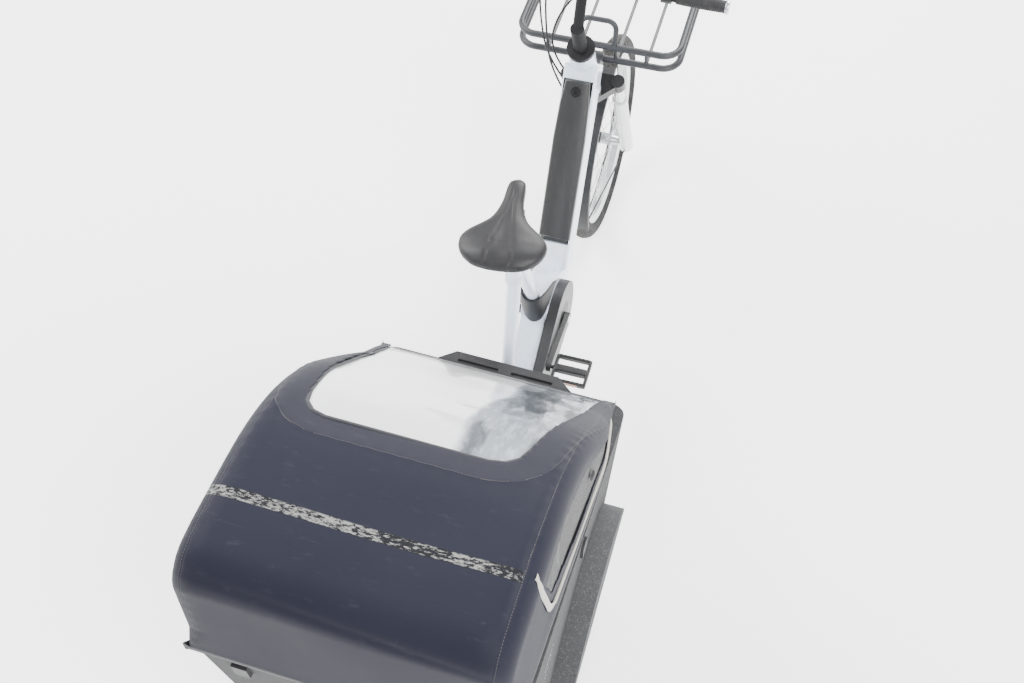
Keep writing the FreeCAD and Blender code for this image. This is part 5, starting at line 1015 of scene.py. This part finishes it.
def paint_nodes():
    """Finishes of the CAD nodes that keep their shape, and a soft rounding of the mouldings among them."""
    right = np.array([cos(LEAN), 0.0, -sin(LEAN)])
    up = np.array([sin(LEAN), 0.0, cos(LEAN)])
    crank, foot, top, axle, rack = map(leaned, (CRANK_AXIS, STEER_FOOT, BATTERY_TOP, FRONT_AXLE, RACK))
    steer = leaned(STEER_FOOT + STEER_UP) * 1000 - foot * 1000
    out = leaned(BATTERY_TOP + DOWN_OUT) * 1000 - top * 1000

    def below_crown(f):
        return f.step(f.along(steer, foot), 0.377, 0.375)

    def outer_face(f):
        off_crank = f.step(f.far(crank + right * 0.0626), 0.047, 0.048)
        return f.step(f.along(right, crank), 0.0620, 0.0626) * off_crank

    def near_crank(f):
        return f.step(f.far(crank + right * 0.079), 0.0105, 0.0100)

    def off_hub(f):
        return f.step(f.far(axle - right * 0.040), 0.036, 0.040)

    def slats(f):
        flat = f.step(abs(f.along(up, rack)), 0.0048, 0.0044)
        inside = f.step(abs(f.axis(f.p, "Y") - float(rack[1])), 0.1455, 0.1445)
        return flat * inside * f.step(abs(f.along(right, rack)), 0.152, 0.150)

    def low_band(f):
        return f.step(f.axis(f.p, "Z"), 0.800, 0.795)

    black = (0.009, 0.009, 0.010)
    satin = (0.010, 0.010, 0.011)
    looks = (
        (gloss_paint("frame paint", (0.74, 0.81, 0.91), (0.65, 0.73, 0.86), 0.35),
         "tilt_housing rear_frame head_tube down_tube motor_unit seat_tube pivot_beam rear_strut"),
        (coated_metal("black coating", (0.008, 0.008, 0.009), (0.05, 0.05, 0.053)),
         "rear_axle headset seatpost handlebar brake_lever_left brake_lever_right brake_caliper chainring"),
        (coated_metal("stem coating", (0.014, 0.014, 0.015), (0.04, 0.04, 0.042), 0.6, 0.08), "stem"),
        (moulded("dark moulding", (0.0095, 0.0095, 0.011), (0.021, 0.021, 0.023)),
         "front_plate hood_clips lever_clamps front_fender"),
        (bead_foam("tub foam", (0.038, 0.039, 0.041), (0.09, 0.091, 0.095)), "cargo_tub"),
        (bead_foam("cover foam", (0.055, 0.056, 0.059), (0.12, 0.121, 0.125)), "cover_right cover_left"),
        (bare_metal("brushed steel", (0.60, 0.61, 0.63), (900, 60, 60)),
         "tub_bolts chain saddle_rails front_spokes drive_hub"),
        (bare_metal("satin alloy", (0.70, 0.71, 0.73), (60, 500, 500), 0.34),
         "hood_bows front_rim rear_wheel_left rear_wheel_right"),
        (gloss_paint("fork paint", (0.80, 0.81, 0.82), (0.72, 0.73, 0.75), 0.6), "fork_lowers"),
        (lens("red lens", (0.42, 0.012, 0.012)), "tail_lights"),
        (lens("grey reflector", (0.62, 0.63, 0.65)), "side_reflectors"),
        (moulded("lamp shell", (0.006, 0.006, 0.007), (0.016, 0.016, 0.017), 1500.0, 0.00003, 0.22),
         "headlight battery_lock display"),
        (two_zone("seat clamps", black, (0.70, 0.77, 0.86), low_band, (0.38, 0.2)), "seat_clamp"),
        (two_zone("crown and stanchions", black, (0.74, 0.75, 0.77), below_crown, (0.38, 0.2), True),
         "fork_crown"),
        (two_zone("chain case", satin, (0.10, 0.102, 0.107), outer_face, (0.46, 0.42)), "chain_case"),
        (two_zone("crank arms", satin, (0.78, 0.79, 0.80), near_crank, (0.36, 0.18), True), "crank_arms"),
        (two_zone("hub and disc", satin, (0.60, 0.61, 0.63), off_hub, (0.36, 0.3), True), "front_hub"),
        (two_zone("rack tubes", (0.019, 0.020, 0.023), (0.075, 0.077, 0.082), slats, (0.46, 0.42)),
         "front_rack"),
        (battery_shell(right, out, top), "battery"),
    )
    for finish, names in looks:
        for name in names.split():
            nodes[name].data.materials.clear()
            nodes[name].data.materials.append(finish)
    widths = {"cargo_tub": 0.006, "cover_right": 0.003, "cover_left": 0.003, "front_plate": 0.002,
              "rear_frame": 0.002, "display": 0.003, "motor_unit": 0.003, "pivot_beam": 0.004}
    for name, width in widths.items():
        join = nodes[name].modifiers.new("weld", "WELD")
        join.merge_threshold = 0.00002
        soft = nodes[name].modifiers.new("rounding", "BEVEL")
        soft.width = width
        soft.segments = 3
        soft.limit_method = "ANGLE"
        soft.angle_limit = radians(40)


def placed(x, y, z, place):
    """Matrix whose columns are three axes and a place."""
    return Matrix(np.vstack([np.stack([x, y, z, place], 1), (0, 0, 0, 1)]).tolist())


def scene_camera():
    """Camera of the photograph: place, heading, pitch, roll and focal length as solved from it."""
    yaw, pitch, roll = (radians(v) for v in CAMERA_TURN)
    heading = np.array([-sin(yaw), cos(yaw), 0])
    right = np.array([cos(yaw), sin(yaw), 0])
    ahead = heading * cos(pitch) - np.array([0, 0, sin(pitch)])
    below = -heading * sin(pitch) - np.array([0, 0, cos(pitch)])
    across = cos(roll) * right - sin(roll) * below
    up = -sin(roll) * right - cos(roll) * below
    data = bpy.data.cameras.new("photo camera")
    data.sensor_width = SENSOR
    data.lens = FOCAL_PX * SENSOR / PHOTO_PX
    scene.camera = linked("photo camera", data)
    scene.camera.matrix_world = placed(across, up, -ahead, CAMERA)


def studio():
    """Pale floor, soft white surroundings and three large soft lamps."""
    spread = np.linspace(-40, 40, 3)
    x, y = np.meshgrid(spread, spread, indexing="ij")
    floor = skin("studio_floor", vec(x, y, 0))
    pale = Finish("pale floor", Roughness=0.6, Specular_IOR_Level=0.2, Emission_Color=(1.0, 1.0, 1.0, 1.0),
                  Emission_Strength=1.2)
    tone = pale.noise(3.0)
    pale.feed(Base_Color=pale.mix(tone, (0.93, 0.93, 0.93), (0.96, 0.96, 0.96)))
    floor.data.materials.append(pale.material)
    world = bpy.data.worlds.new("studio")
    world.use_nodes = True
    sky = world.node_tree.nodes["Background"].inputs
    sky["Color"].default_value = (1.0, 1.0, 1.0, 1.0)
    sky["Strength"].default_value = 1.0
    scene.world = world
    for name, place, aim, size, power in (("key", (2.6, -2.4, 4.2), (0, -0.4, 0.7), 3.0, 360.0),
                                          ("fill", (-3.4, 0.6, 3.4), (0, 0, 0.6), 3.0, 330.0),
                                          ("back", (0.6, 3.6, 3.2), (0, 0.2, 0.6), 2.6, 330.0)):
        data = bpy.data.lights.new(name, "AREA")
        data.shape = "DISK"
        data.size = size
        data.energy = power
        lamp = linked(name, data)
        back = unit(np.array(place) - np.array(aim))
        side = unit(np.cross((0, 0, 1), back))
        lamp.matrix_world = placed(side, np.cross(back, side), back, place)


scene_camera()
studio()
make_cables()
paint_nodes()
make_hood_trim(*make_hood())
tread = tread_rubber()
make_tyre("front_tread", FRONT_AXLE, leaned, "front_wheel", tread, "front_tyre", **FRONT_TYRE)
for sign, word in SIDES:
    make_tyre("rear_tread_" + word, REAR_HUB * (sign, 1, 1), upright, word + "_wheel", tread,
              "rear_tyre_" + word, **REAR_TYRE)
make_grips()
make_boot()
make_pedals()
make_saddle()
make_cushions()
